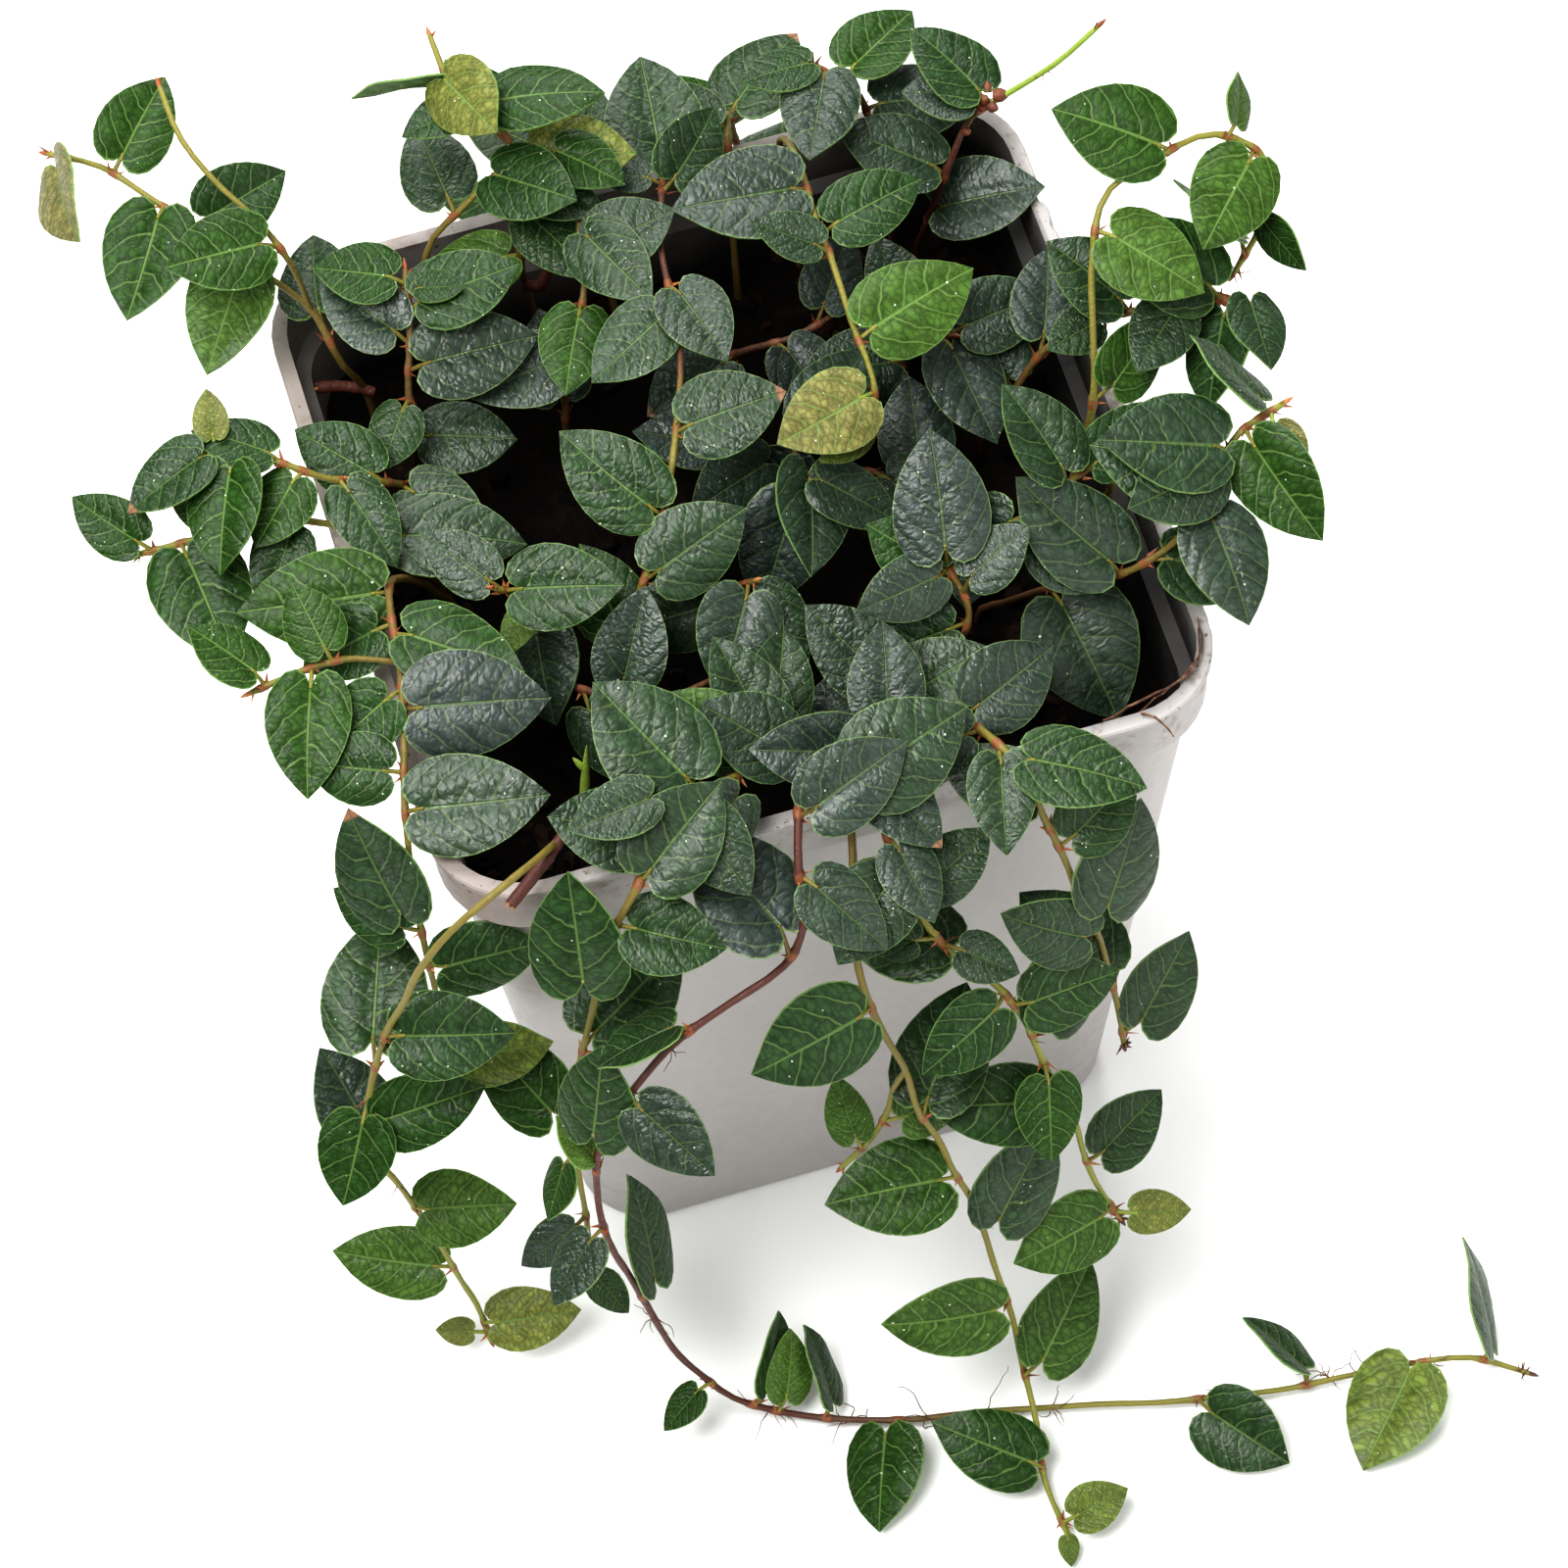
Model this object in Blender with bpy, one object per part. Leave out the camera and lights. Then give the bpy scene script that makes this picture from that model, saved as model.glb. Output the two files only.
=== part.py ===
import bpy
import bmesh
import math
import random
from mathutils import Matrix, Vector
from mathutils.bvhtree import BVHTree

# Every size below is in millimetres and becomes metres when a mesh is made
metre = 0.001

# Corners of a fused shoot closer than this many metres become one
mergeGap = 0.00001

# Pot
potHeight = 150.0
rimHalf = 65.0
rimCorner = 16.0
baseHalf = 48.0
baseCorner = 12.5
baseEdge = 1.2
collarHeight = 12.0
collarProud = 2.6
flangeThick = 1.6
flangeProud = 0.7
potWall = 1.9
potFloor = 2.4
cornerSteps = 4
drainRadius = 4.0
drainOffset = 30.0
drainSides = 10

# Soil
soilTop = 125.0
soilGap = 0.35
soilLump = 1.3
soilRings = 5
holeDepth = 115.0
holeSides = 8

# Stems
rootDepth = 116.0
stemThick = 1.05
stemThin = 0.72
branchThick = 0.75
stemSides = 4
stepLength = 11.0
cutClear = 2.4
splineSteps = 12

# Leaves
bladeThick = 0.8
petioleWide = 1.1
petioleRoot = 0.38
petioleLength = 3.6
sizeSpread = 0.06
ribPoint = 0.33
halfOutline = [(-0.10, 0.165), (0.18, 0.375), (0.62, 0.262)]
clearGap = 0.4
floorGap = 0.5
soilSpare = 3.0
tries = 260
petioleAhead = 0.8
petioleUp = 0.6
edgeDroop = 0.35

# How far the upper faces of the leaves lean to the light, outward, and outward where they hang
lightLean = 0.38
outwardLean = 0.12
hangingLean = 0.45
uprightShare = 0.92

# Heights between which a stem beside the pot comes to hang, and below which it comes to lie
hangHigh = 155.0
hangSpan = 45.0
lieHigh = 30.0
lieSpan = 25.0

# The lean to the light fades towards the back, over this span before this line
shadeLine = 85.0
shadeSpan = 60.0
shadeLeast = 0.15

# Each shoot is a list of stems, the first one rooted in the soil and the others branching off it.
# route: points the stem passes, from where it leaves the soil.
# leaves: distance along the stem, compass heading of the tip in degrees, length, and a roll if any.
shoots = {
    "north_west_runner": [
        dict(route=[(-51, 45, 130), (-53, 44, 146), (-55, 43, 150), (-57, 48, 158), (-62, 52, 163),
                    (-66, 57, 166), (-72, 63, 169), (-78, 70, 171), (-83, 77, 172), (-90, 82, 171),
                    (-92, 85, 170)],
             leaves=[(26, 80, 16), (44, 235, 19), (55, 15, 15, 25), (64, 235, 19), (73, 45, 17, 30),
                     (82, 265, 17, 58)]),
        dict(route=[(-58, 49, 159), (-59, 51, 168), (-60, 53, 172), (-65, 60, 178), (-70, 66, 182),
                    (-71, 69, 184), (-72, 80, 186)],
             leaves=[(14, 170, 16)]),
    ],
    "north_west_spray": [
        dict(route=[(-39, 51, 130), (-38, 53, 153), (-33, 58, 161), (-29, 57, 164), (-24, 59, 167),
                    (-18, 59, 170), (-11, 58, 171)],
             leaves=[(38, 95, 15), (45, 340, 16), (53, 345, 15, 20), (56, 320, 13)]),
    ],
    "north_spike": [
        dict(route=[(-20, 52, 130), (-22, 51, 155), (-20, 52, 164), (-19, 57, 171), (-20, 61, 176),
                    (-22, 64, 179), (-26, 69, 181), (-27, 73, 182), (-27, 79, 182)],
             leaves=[(25, 190, 16), (35, 290, 16), (40, 325, 13), (49, 120, 12), (53, 340, 17),
                     (55, 185, 11), (61, 165, 15, 66), (63, 290, 14, 40)]),
    ],
    "middle_creeper": [
        dict(route=[(-24, -18, 130), (-21, -17, 150), (-15, -11, 157), (-9, 1, 162), (-4, 13, 166),
                    (-2, 25, 168), (-1, 35, 168), (3, 49, 166), (5, 55, 163)],
             leaves=[(9, 100, 16), (24, 20, 17), (35, 125, 19), (49, 5, 17), (72, 210, 15),
                     (75, 285, 15), (96, 45, 14, 30), (98, 155, 9), (104, 85, 18)]),
    ],
    "young_arch": [
        dict(route=[(26, 54, 130), (26, 57, 147), (25, 58, 152), (25, 54, 164), (25, 43, 171),
                    (24, 34, 173), (24, 26, 174), (24, 19, 174), (24, 7, 171), (24, 2, 169),
                    (25, -2, 166), (23, -4, 159)],
             leaves=[(56, 175, 20), (66, 15, 15), (71, 155, 11), (86, 15, 19), (95, 200, 16),
                     (103, 200, 9)]),
    ],
    "north_tuft": [
        dict(route=[(42, 53, 130), (42, 56, 147), (41, 58, 155), (40, 58, 163), (36, 60, 168),
                    (33, 63, 169)],
             leaves=[(30, 350, 16), (37, 30, 14), (42, 245, 17), (45, 180, 12)]),
    ],
    "north_east_shoot": [
        dict(route=[(45, 48, 130), (48, 43, 152), (52, 45, 160), (56, 47, 166), (59, 47, 169),
                    (64, 46, 171), (68, 45, 174), (72, 45, 179), (75, 46, 182), (77, 45, 183)],
             leaves=[(14, 350, 17), (28, 150, 18), (39, 155, 11), (42, 125, 15)]),
    ],
    "east_arch": [
        dict(route=[(53, -9, 130), (57, -11, 154), (60, -6, 163), (62, 2, 172), (65, 9, 178),
                    (69, 14, 182), (76, 15, 184), (80, 17, 184), (89, 19, 182), (95, 17, 178),
                    (96, 13, 173), (94, 10, 169), (90, 9, 163), (88, 7, 160)],
             leaves=[(30, 40, 14), (58, 320, 17), (76, 150, 18), (86, 60, 9, 50), (95, 220, 18),
                     (106, 295, 10, 60), (114, 125, 14, 50)]),
    ],
    "east_spray": [
        dict(route=[(44, 8, 130), (49, 5, 146), (55, 5, 156), (60, 4, 161), (68, 2, 164), (78, 1, 166),
                    (87, -1, 165), (87, -3, 164)],
             leaves=[(19, 105, 15), (27, 65, 16), (39, 200, 10), (45, 130, 15), (54, 225, 14),
                     (61, 145, 17), (64, 245, 16, 50), (67, 275, 14)]),
    ],
    "south_east_spray": [
        dict(route=[(34, -23, 128), (42, -32, 144), (49, -36, 150), (53, -39, 154), (57, -41, 158),
                    (63, -41, 163), (67, -40, 167), (72, -36, 171), (76, -31, 173), (80, -30, 174),
                    (84, -29, 174)],
             leaves=[(22, 280, 20), (39, 125, 20), (43, 340, 16), (50, 300, 14), (57, 275, 17),
                     (61, 150, 19), (64, 190, 16), (69, 165, 19), (71, 295, 19, 35), (75, 125, 15, 40),
                     (79, 280, 9, 20)]),
    ],
    "east_creeper": [
        dict(route=[(53, -17, 130), (57, -23, 154), (55, -24, 163), (49, -27, 166), (43, -30, 163),
                    (38, -31, 159)],
             leaves=[(38, 25, 15), (43, 115, 17), (49, 215, 15), (56, 310, 12)]),
    ],
    "west_spray": [
        dict(route=[(-46, 25, 128), (-51, 17, 149), (-56, 14, 157), (-62, 13, 162), (-67, 13, 165),
                    (-70, 15, 167), (-76, 18, 169), (-82, 20, 169)],
             leaves=[(22, 310, 17), (31, 130, 14), (41, 285, 14), (47, 225, 13), (51, 145, 13, 25),
                     (58, 250, 16), (61, 200, 14), (64, 80, 8)]),
    ],
    "west_low_spray": [
        dict(route=[(-49, 9, 129), (-56, 5, 150), (-63, 7, 157), (-71, 9, 160), (-77, 10, 161),
                    (-83, 10, 161), (-90, 10, 160), (-96, 11, 159)],
             leaves=[(24, 330, 21), (41, 230, 14), (48, 135, 11), (59, 280, 19), (67, 125, 13)]),
    ],
    "west_trailer": [
        dict(route=[(-48, 4, 130), (-54, -2, 150), (-60, -8, 160), (-60, -17, 162), (-61, -22, 162),
                    (-62, -28, 161), (-64, -36, 159), (-66, -42, 156), (-68, -50, 149), (-69, -55, 136),
                    (-69, -59, 117), (-69, -61, 99)],
             leaves=[(35, 175, 21), (44, 190, 14), (46, 325, 20), (56, 200, 14), (61, 345, 21),
                     (70, 155, 13), (76, 350, 21), (96, 85, 19), (99, 135, 13), (107, 350, 17),
                     (134, 350, 17)]),
        dict(route=[(-61, -22, 162), (-69, -22, 164), (-77, -22, 164), (-82, -21, 163), (-85, -22, 162)],
             leaves=[(9, 105, 12), (16, 250, 18), (23, 135, 13, 20)]),
    ],
    "south_west_trailer": [
        dict(route=[(-35, -37, 128), (-43, -55, 150), (-51, -65, 160), (-61, -70, 160), (-70, -71, 152),
                    (-74, -71, 142), (-79, -68, 126), (-83, -67, 109), (-85, -67, 98), (-85, -68, 88),
                    (-82, -67, 74), (-78, -65, 50), (-75, -62, 26), (-72, -62, 8), (-72, -64, 4)],
             leaves=[(98, 335, 17), (108, 65, 21), (120, 230, 15), (127, 345, 18), (135, 100, 17, 62),
                     (160, 340, 16), (192, 150, 18), (217, 355, 14), (222, 165, 6)]),
    ],
    "south_west_hanger": [
        dict(route=[(-19, -38, 128), (-28, -61, 152), (-35, -71, 159), (-37, -73, 156), (-40, -73, 150),
                    (-44, -73, 136), (-46, -73, 125), (-48, -73, 116), (-51, -73, 101), (-52, -73, 90),
                    (-53, -74, 72), (-53, -74, 55), (-54, -74, 40)],
             leaves=[(38, 150, 16), (51, 35, 18), (62, 330, 15), (78, 80, 21), (99, 25, 19),
                     (120, 115, 19), (129, 230, 10, 50), (153, 185, 11), (172, 295, 8)]),
    ],
    "long_runner": [
        dict(route=[(-4, -38, 130), (-7, -60, 156), (-9, -71, 161), (-11, -76, 157), (-12, -81, 147),
                    (-14, -82, 140), (-22, -84, 136), (-32, -85, 132), (-40, -86, 124), (-46, -86, 114),
                    (-51, -86, 100), (-52, -87, 77), (-49, -87, 58), (-46, -88, 42), (-44, -88, 30),
                    (-39, -88, 15), (-32, -91, 5), (-22, -95, 3), (-10, -100, 3), (1, -102, 3),
                    (13, -105, 3), (22, -107, 3), (36, -111, 3), (46, -113, 3), (56, -115, 3),
                    (68, -116, 3), (82, -118, 4), (92, -121, 5), (96, -123, 4), (98, -125, 3)],
             leaves=[(28, 150, 15), (46, 15, 17), (54, 310, 15), (74, 110, 22), (94, 185, 13, 60),
                     (112, 305, 15), (126, 45, 17), (135, 115, 9, 50), (151, 215, 12, 30),
                     (183, 80, 18, 60), (219, 210, 9, 40), (230, 55, 14, 60), (237, 60, 12, 20),
                     (243, 90, 13, 60), (257, 250, 18, 45), (308, 310, 17, 35), (327, 120, 13, 60),
                     (347, 220, 20, 20), (357, 80, 19, 64)]),
    ],
    "south_fork": [
        dict(route=[(8, -42, 130), (6, -64, 153), (4, -72, 156), (4, -78, 151), (6, -81, 144),
                    (8, -82, 134), (13, -86, 127), (18, -88, 120), (20, -89, 115), (21, -91, 110),
                    (24, -92, 94), (27, -94, 82), (28, -95, 72), (31, -97, 56), (33, -99, 52)],
             leaves=[(28, 40, 14), (43, 285, 13), (49, 220, 16), (57, 25, 14), (68, 155, 10),
                     (70, 335, 10), (77, 130, 19), (86, 210, 16), (89, 5, 15), (98, 55, 18),
                     (106, 250, 14), (116, 170, 20), (139, 25, 14), (153, 195, 17), (159, 355, 10)]),
    ],
    "south_east_trailer": [
        dict(route=[(22, -36, 130), (22, -58, 154), (24, -67, 162), (26, -71, 163), (27, -74, 158),
                    (29, -77, 150), (31, -79, 142), (33, -82, 130), (35, -83, 122), (36, -85, 113),
                    (37, -86, 105), (38, -87, 89)],
             leaves=[(28, 20, 15), (39, 185, 15), (46, 250, 14), (51, 330, 18), (66, 145, 19),
                     (71, 25, 14), (88, 60, 19), (94, 160, 14), (109, 145, 19), (123, 40, 17)]),
    ],
    "south_trailer": [
        dict(route=[(1, -38, 130), (0, -58, 151), (-1, -71, 154), (-4, -81, 145), (-5, -85, 136),
                    (-4, -87, 126), (-3, -88, 120), (0, -90, 109), (1, -92, 98), (3, -93, 93),
                    (6, -94, 76), (9, -95, 64), (10, -96, 56), (11, -97, 46), (13, -98, 30),
                    (14, -99, 19), (14, -102, 12), (14, -107, 9), (13, -115, 5), (12, -122, 3),
                    (13, -130, 3)],
             leaves=[(76, 185, 19), (109, 55, 21), (129, 175, 20), (149, 55, 19), (173, 180, 19),
                     (194, 40, 19), (212, 150, 19), (227, 15, 10), (229, 265, 5)]),
        dict(route=[(-1, -90, 110), (-3, -88, 91), (-7, -87, 80), (-11, -86, 73)],
             leaves=[(20, 5, 12), (31, 95, 11)]),
    ],
    "south_rim_creeper": [
        dict(route=[(-5, -30, 129), (-8, -49, 148), (-14, -57, 156), (-19, -60, 160), (-25, -61, 161),
                    (-30, -62, 161)],
             leaves=[(20, 60, 16), (29, 105, 16), (36, 135, 15), (42, 215, 15), (50, 118, 20),
                     (54, 290, 16), (58, 185, 13)]),
    ],
    "south_centre_tuft": [
        dict(route=[(17, -29, 130), (13, -46, 146), (8, -59, 156), (2, -67, 162), (-2, -70, 163)],
             leaves=[(12, 200, 14), (18, 130, 16), (27, 5, 16), (36, 75, 15), (43, 165, 17),
                     (50, 300, 15), (58, 15, 20)]),
    ],
    "west_inner": [
        dict(route=[(-33, -5, 130), (-36, -10, 147), (-39, -12, 154), (-43, -12, 157)],
             leaves=[(6, 275, 16), (20, 220, 8), (28, 345, 16), (31, 135, 14)]),
    ],
    "west_upright": [
        dict(route=[(-47, 32, 130), (-47, 26, 150), (-46, 30, 160), (-44, 34, 166), (-42, 37, 169),
                    (-42, 42, 172)],
             leaves=[(20, 340, 15), (29, 230, 10), (33, 0, 18), (39, 130, 15), (43, 0, 17),
                     (46, 345, 8), (49, 155, 12)]),
    ],
    "centre_west": [
        dict(route=[(-22, 27, 130), (-22, 24, 148), (-18, 29, 158), (-14, 36, 164), (-12, 46, 168)],
             leaves=[(16, 85, 15), (28, 185, 15), (37, 245, 14), (42, 5, 14), (51, 290, 16)]),
    ],
    "centre_low": [
        dict(route=[(17, 15, 130), (14, 7, 146), (9, -3, 154), (9, -8, 155)],
             leaves=[(22, 40, 16), (29, 260, 18), (35, 315, 15), (37, 235, 20)]),
    ],
    "centre_east": [
        dict(route=[(35, 24, 130), (36, 19, 148), (40, 17, 154), (42, 12, 156)],
             leaves=[(8, 180, 16), (21, 95, 15), (28, 285, 18), (32, 5, 15)]),
    ],
    "east_inner": [
        dict(route=[(27, -34, 130), (26, -41, 150), (28, -40, 155), (28, -36, 160), (26, -32, 162)],
             leaves=[(25, 185, 14), (29, 40, 12), (35, 135, 13), (38, 190, 15), (39, 80, 20)]),
    ],
    "centre_south": [
        dict(route=[(-6, -11, 130), (-5, -17, 146), (-2, -20, 151)],
             leaves=[(8, 185, 16), (19, 285, 16), (24, 230, 15)]),
    ],
    "north_trailer_west": [
        dict(route=[(-7, 50, 130), (-8, 54, 145), (-9, 61, 155), (-10, 67, 157), (-11, 71, 151),
                    (-12, 71, 138), (-12, 70, 122), (-10, 69, 106), (-9, 68, 92)],
             leaves=[(26, 60, 16), (36, 130, 17), (48, 40, 18), (60, 150, 17), (74, 55, 16),
                     (88, 120, 14)]),
    ],
    "north_trailer_east": [
        dict(route=[(14, 50, 130), (15, 54, 145), (17, 61, 155), (19, 68, 156), (20, 71, 148),
                    (21, 71, 134), (21, 70, 119), (22, 69, 107)],
             leaves=[(28, 120, 16), (38, 35, 17), (50, 140, 18), (63, 30, 16), (75, 105, 13)]),
    ],
    "soil_creeper_east": [
        dict(route=[(42, -8, 130), (38, -6, 137), (30, -3, 140), (21, 2, 141), (11, 8, 140),
                    (1, 13, 140)],
             leaves=[(10, 250, 16), (17, 80, 15), (25, 300, 16), (33, 130, 15), (42, 220, 16),
                     (50, 160, 15)]),
    ],
    "soil_creeper_west": [
        dict(route=[(-40, -14, 130), (-36, -20, 137), (-29, -27, 140), (-20, -31, 141), (-12, -29, 140)],
             leaves=[(8, 180, 15), (15, 300, 16), (22, 60, 15), (30, 250, 16)]),
    ],
    "soil_creeper_north": [
        dict(route=[(6, 36, 130), (10, 33, 137), (18, 31, 140), (27, 33, 141), (35, 38, 141)],
             leaves=[(8, 200, 15), (15, 290, 16), (23, 60, 15)]),
    ],
}

greens = {
    "old": (0.045, 0.105, 0.055),
    "grown": (0.055, 0.160, 0.050),
    "young": (0.180, 0.330, 0.060),
}
youngShoots = ["young_arch", "north_west_spray", "north_spike"]
grownShoots = ["north_west_runner", "east_arch", "west_spray", "west_low_spray", "south_west_trailer",
               "south_west_hanger", "long_runner", "south_fork", "south_trailer", "west_trailer"]


# Empty the scene
for oldObject in list(bpy.data.objects):
    bpy.data.objects.remove(oldObject, do_unlink=True)


def makeMaterial(name, colour, roughness):
    material = bpy.data.materials.new(name)
    material.use_nodes = True
    shader = material.node_tree.nodes["Principled BSDF"]
    shader.inputs["Base Color"].default_value = (*colour, 1.0)
    shader.inputs["Roughness"].default_value = roughness
    return material


def makeObject(name, points, faces, material=None):
    mesh = bpy.data.meshes.new(name)
    mesh.from_pydata([tuple(Vector(point) * metre) for point in points], [], faces)
    mesh.update()
    part = bpy.data.objects.new(name, mesh)
    bpy.context.scene.collection.objects.link(part)
    if material:
        mesh.materials.append(material)
    return part


# One turn round a square with rounded corners, counter-clockwise seen from above
def squareRing(half, corner, height):
    ring = []
    for quarter in range(4):
        start = math.pi / 2 * quarter
        signX = 1 if quarter in (0, 3) else -1
        signY = 1 if quarter in (0, 1) else -1
        for step in range(cornerSteps + 1):
            angle = start + math.pi / 2 * step / cornerSteps
            ring.append(Vector((signX * (half - corner) + corner * math.cos(angle),
                                signY * (half - corner) + corner * math.sin(angle),
                                height)))
    return ring


# Stack rings into one closed shell with a flat face on the first and on the last ring
def stackRings(rings):
    count = len(rings[0])
    points = [point for ring in rings for point in ring]
    faces = [tuple(reversed(range(count)))]
    for level in range(len(rings) - 1):
        for i in range(count):
            j = (i + 1) % count
            faces.append((level * count + i, level * count + j,
                          (level + 1) * count + j, (level + 1) * count + i))
    last = (len(rings) - 1) * count
    faces.append(tuple(last + i for i in range(count)))
    return points, faces


# Half width of the body of the pot at a height, below the collar
def bodyHalf(height):
    bodyTop = rimHalf - flangeProud - collarProud
    return baseHalf + (bodyTop - baseHalf) * height / (potHeight - collarHeight)


def potRings():
    collarHalf = rimHalf - flangeProud
    collarFoot = potHeight - collarHeight
    flangeFoot = potHeight - flangeThick
    openHalf = collarHalf - potWall
    ledge = collarFoot - 0.5
    outside = [
        squareRing(baseHalf - baseEdge, baseCorner - baseEdge, 0),
        squareRing(baseHalf, baseCorner, baseEdge),
        squareRing(bodyHalf(collarFoot), rimCorner - flangeProud - collarProud, collarFoot),
        squareRing(collarHalf - 0.3, rimCorner - flangeProud - 0.3, collarFoot + 0.6),
        squareRing(collarHalf, rimCorner - flangeProud, flangeFoot),
        squareRing(rimHalf, rimCorner, flangeFoot + 0.2),
        squareRing(rimHalf, rimCorner, potHeight - 0.3),
        squareRing(rimHalf - 0.3, rimCorner - 0.3, potHeight),
    ]
    inside = [
        squareRing(openHalf, rimCorner - flangeProud - potWall, potHeight),
        squareRing(openHalf - 0.3, rimCorner - flangeProud - potWall - 0.3, ledge + 1.0),
        squareRing(bodyHalf(ledge) - potWall, rimCorner - flangeProud - collarProud - potWall, ledge),
        squareRing(bodyHalf(potFloor) - potWall, baseCorner - potWall, potFloor),
    ]
    return outside + inside


def applyBoolean(part, operation, collection, solver):
    cut = part.modifiers.new("cut", "BOOLEAN")
    cut.operation = operation
    cut.operand_type = "COLLECTION"
    cut.collection = collection
    cut.solver = solver
    bpy.ops.object.select_all(action="DESELECT")
    bpy.context.view_layer.objects.active = part
    part.select_set(True)
    bpy.ops.object.modifier_apply(modifier=cut.name)
    for helper in list(collection.objects):
        bpy.data.objects.remove(helper, do_unlink=True)
    bpy.data.collections.remove(collection)


def gather(name, parts):
    collection = bpy.data.collections.new(name)
    bpy.context.scene.collection.children.link(collection)
    for part in parts:
        bpy.context.scene.collection.objects.unlink(part)
        collection.objects.link(part)
        part.hide_render = True
        part.display_type = "WIRE"
    return collection


def makePost(name, x, y, low, high, radius, sides):
    rings = []
    for height in (low, high):
        rings.append([Vector((x + radius * math.cos(2 * math.pi * i / sides),
                              y + radius * math.sin(2 * math.pi * i / sides),
                              height)) for i in range(sides)])
    points, faces = stackRings(rings)
    return makeObject(name, points, faces)


# Smooth curve through the points of a route, as many short straight steps
def smoothLine(route):
    points = [Vector(point) for point in route]
    ends = [points[0] * 2 - points[1]] + points + [points[-1] * 2 - points[-2]]
    line = []
    for i in range(1, len(ends) - 2):
        before, start, stop, after = ends[i - 1:i + 3]
        for step in range(splineSteps):
            t = step / splineSteps
            line.append(0.5 * (start * 2 + (stop - before) * t
                               + (before * 2 - start * 5 + stop * 4 - after) * t ** 2
                               + (start * 3 - before - stop * 3 + after) * t ** 3))
    line.append(points[-1])
    return line


def lineLengths(line):
    lengths = [0.0]
    for i in range(1, len(line)):
        lengths.append(lengths[-1] + (line[i] - line[i - 1]).length)
    return lengths


def pointAt(line, lengths, distance):
    i = 1
    while i < len(lengths) - 1 and lengths[i] < distance:
        i += 1
    share = (distance - lengths[i - 1]) / (lengths[i] - lengths[i - 1])
    return line[i - 1].lerp(line[i], min(max(share, 0.0), 1.0))


# Cut a stem into even steps and find the places of its leaves, clear of the cuts
def cutStem(stem):
    line = smoothLine(stem["route"])
    lengths = lineLengths(line)
    spans = math.ceil(lengths[-1] / stepLength)
    step = lengths[-1] / spans
    points = [pointAt(line, lengths, step * i) for i in range(spans + 1)]
    places = []
    for leaf in stem["leaves"]:
        span = min(int(leaf[0] / step), spans - 1)
        share = min(max(leaf[0] / step - span, cutClear / step), 1 - cutClear / step)
        places.append(points[span].lerp(points[span + 1], share))
    return points, places


# Tube round a row of points, with its sides carried along without twist
def tubeMesh(points, radii, sides):
    rings = []
    side = None
    for i, point in enumerate(points):
        ahead = (points[min(i + 1, len(points) - 1)] - points[max(i - 1, 0)]).normalized()
        if side is None:
            side = ahead.orthogonal().normalized()
        side = (side - ahead * side.dot(ahead)).normalized()
        other = ahead.cross(side)
        rings.append([point + (side * math.cos(2 * math.pi * k / sides)
                               + other * math.sin(2 * math.pi * k / sides)) * radii[i]
                      for k in range(sides)])
    return stackRings(rings)


# Which way the upper face of a leaf looks, from where it grows
def leafFacing(point):
    outward = Vector((point.x, point.y, 0)).normalized()
    beside = max(abs(point.x), abs(point.y)) > rimHalf
    hanging = min(max((hangHigh - point.z) / hangSpan, 0.0), 1.0) if beside else 0.0
    lying = min(max((lieHigh - point.z) / lieSpan, 0.0), 1.0)
    hanging = hanging * (1 - lying)
    forward = lightLean * min(max((shadeLine - point.y) / shadeSpan, shadeLeast), 1.0)
    lean = outwardLean + hangingLean * hanging
    return (Vector((0, -forward, uprightShare)) + outward * lean).normalized()


# Height of a blade above its flat plane, as a share of its length
def bladeRise(along, across, shape):
    return (shape["fold"] * abs(across) - shape["arch"] * along * abs(along)
            + shape["twist"] * along * across - edgeDroop * across * across)


def placeLeaf(root, leaf, shape, change):
    roll = leaf[3] if len(leaf) > 3 else 0
    facing = leafFacing(root)
    heading = math.radians(leaf[1] + shape["turn"] + change["turn"])
    tip = Vector((math.cos(heading), math.sin(heading), 0))
    tip.z = -(tip.x * facing.x + tip.y * facing.y) / facing.z
    tip.normalize()
    side = facing.cross(tip)
    pitch = math.radians(shape["pitch"] + change["pitch"])
    turned = Matrix.Rotation(-pitch, 3, side)
    tip = turned @ tip
    facing = turned @ facing
    tilt = Matrix.Rotation(math.radians(roll + shape["roll"] + change["roll"]), 3, tip)
    facing = tilt @ facing
    side = facing.cross(tip)
    reach = petioleLength + change["reach"]
    notch = root + (tip * petioleAhead + facing * petioleUp) * reach + facing * change["lift"]
    return {"root": root, "notch": notch, "tip": tip, "side": side, "facing": facing,
            "length": leaf[2] * shape["size"], "width": shape["width"],
            "fold": shape["fold"], "arch": shape["arch"], "twist": shape["twist"]}


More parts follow.
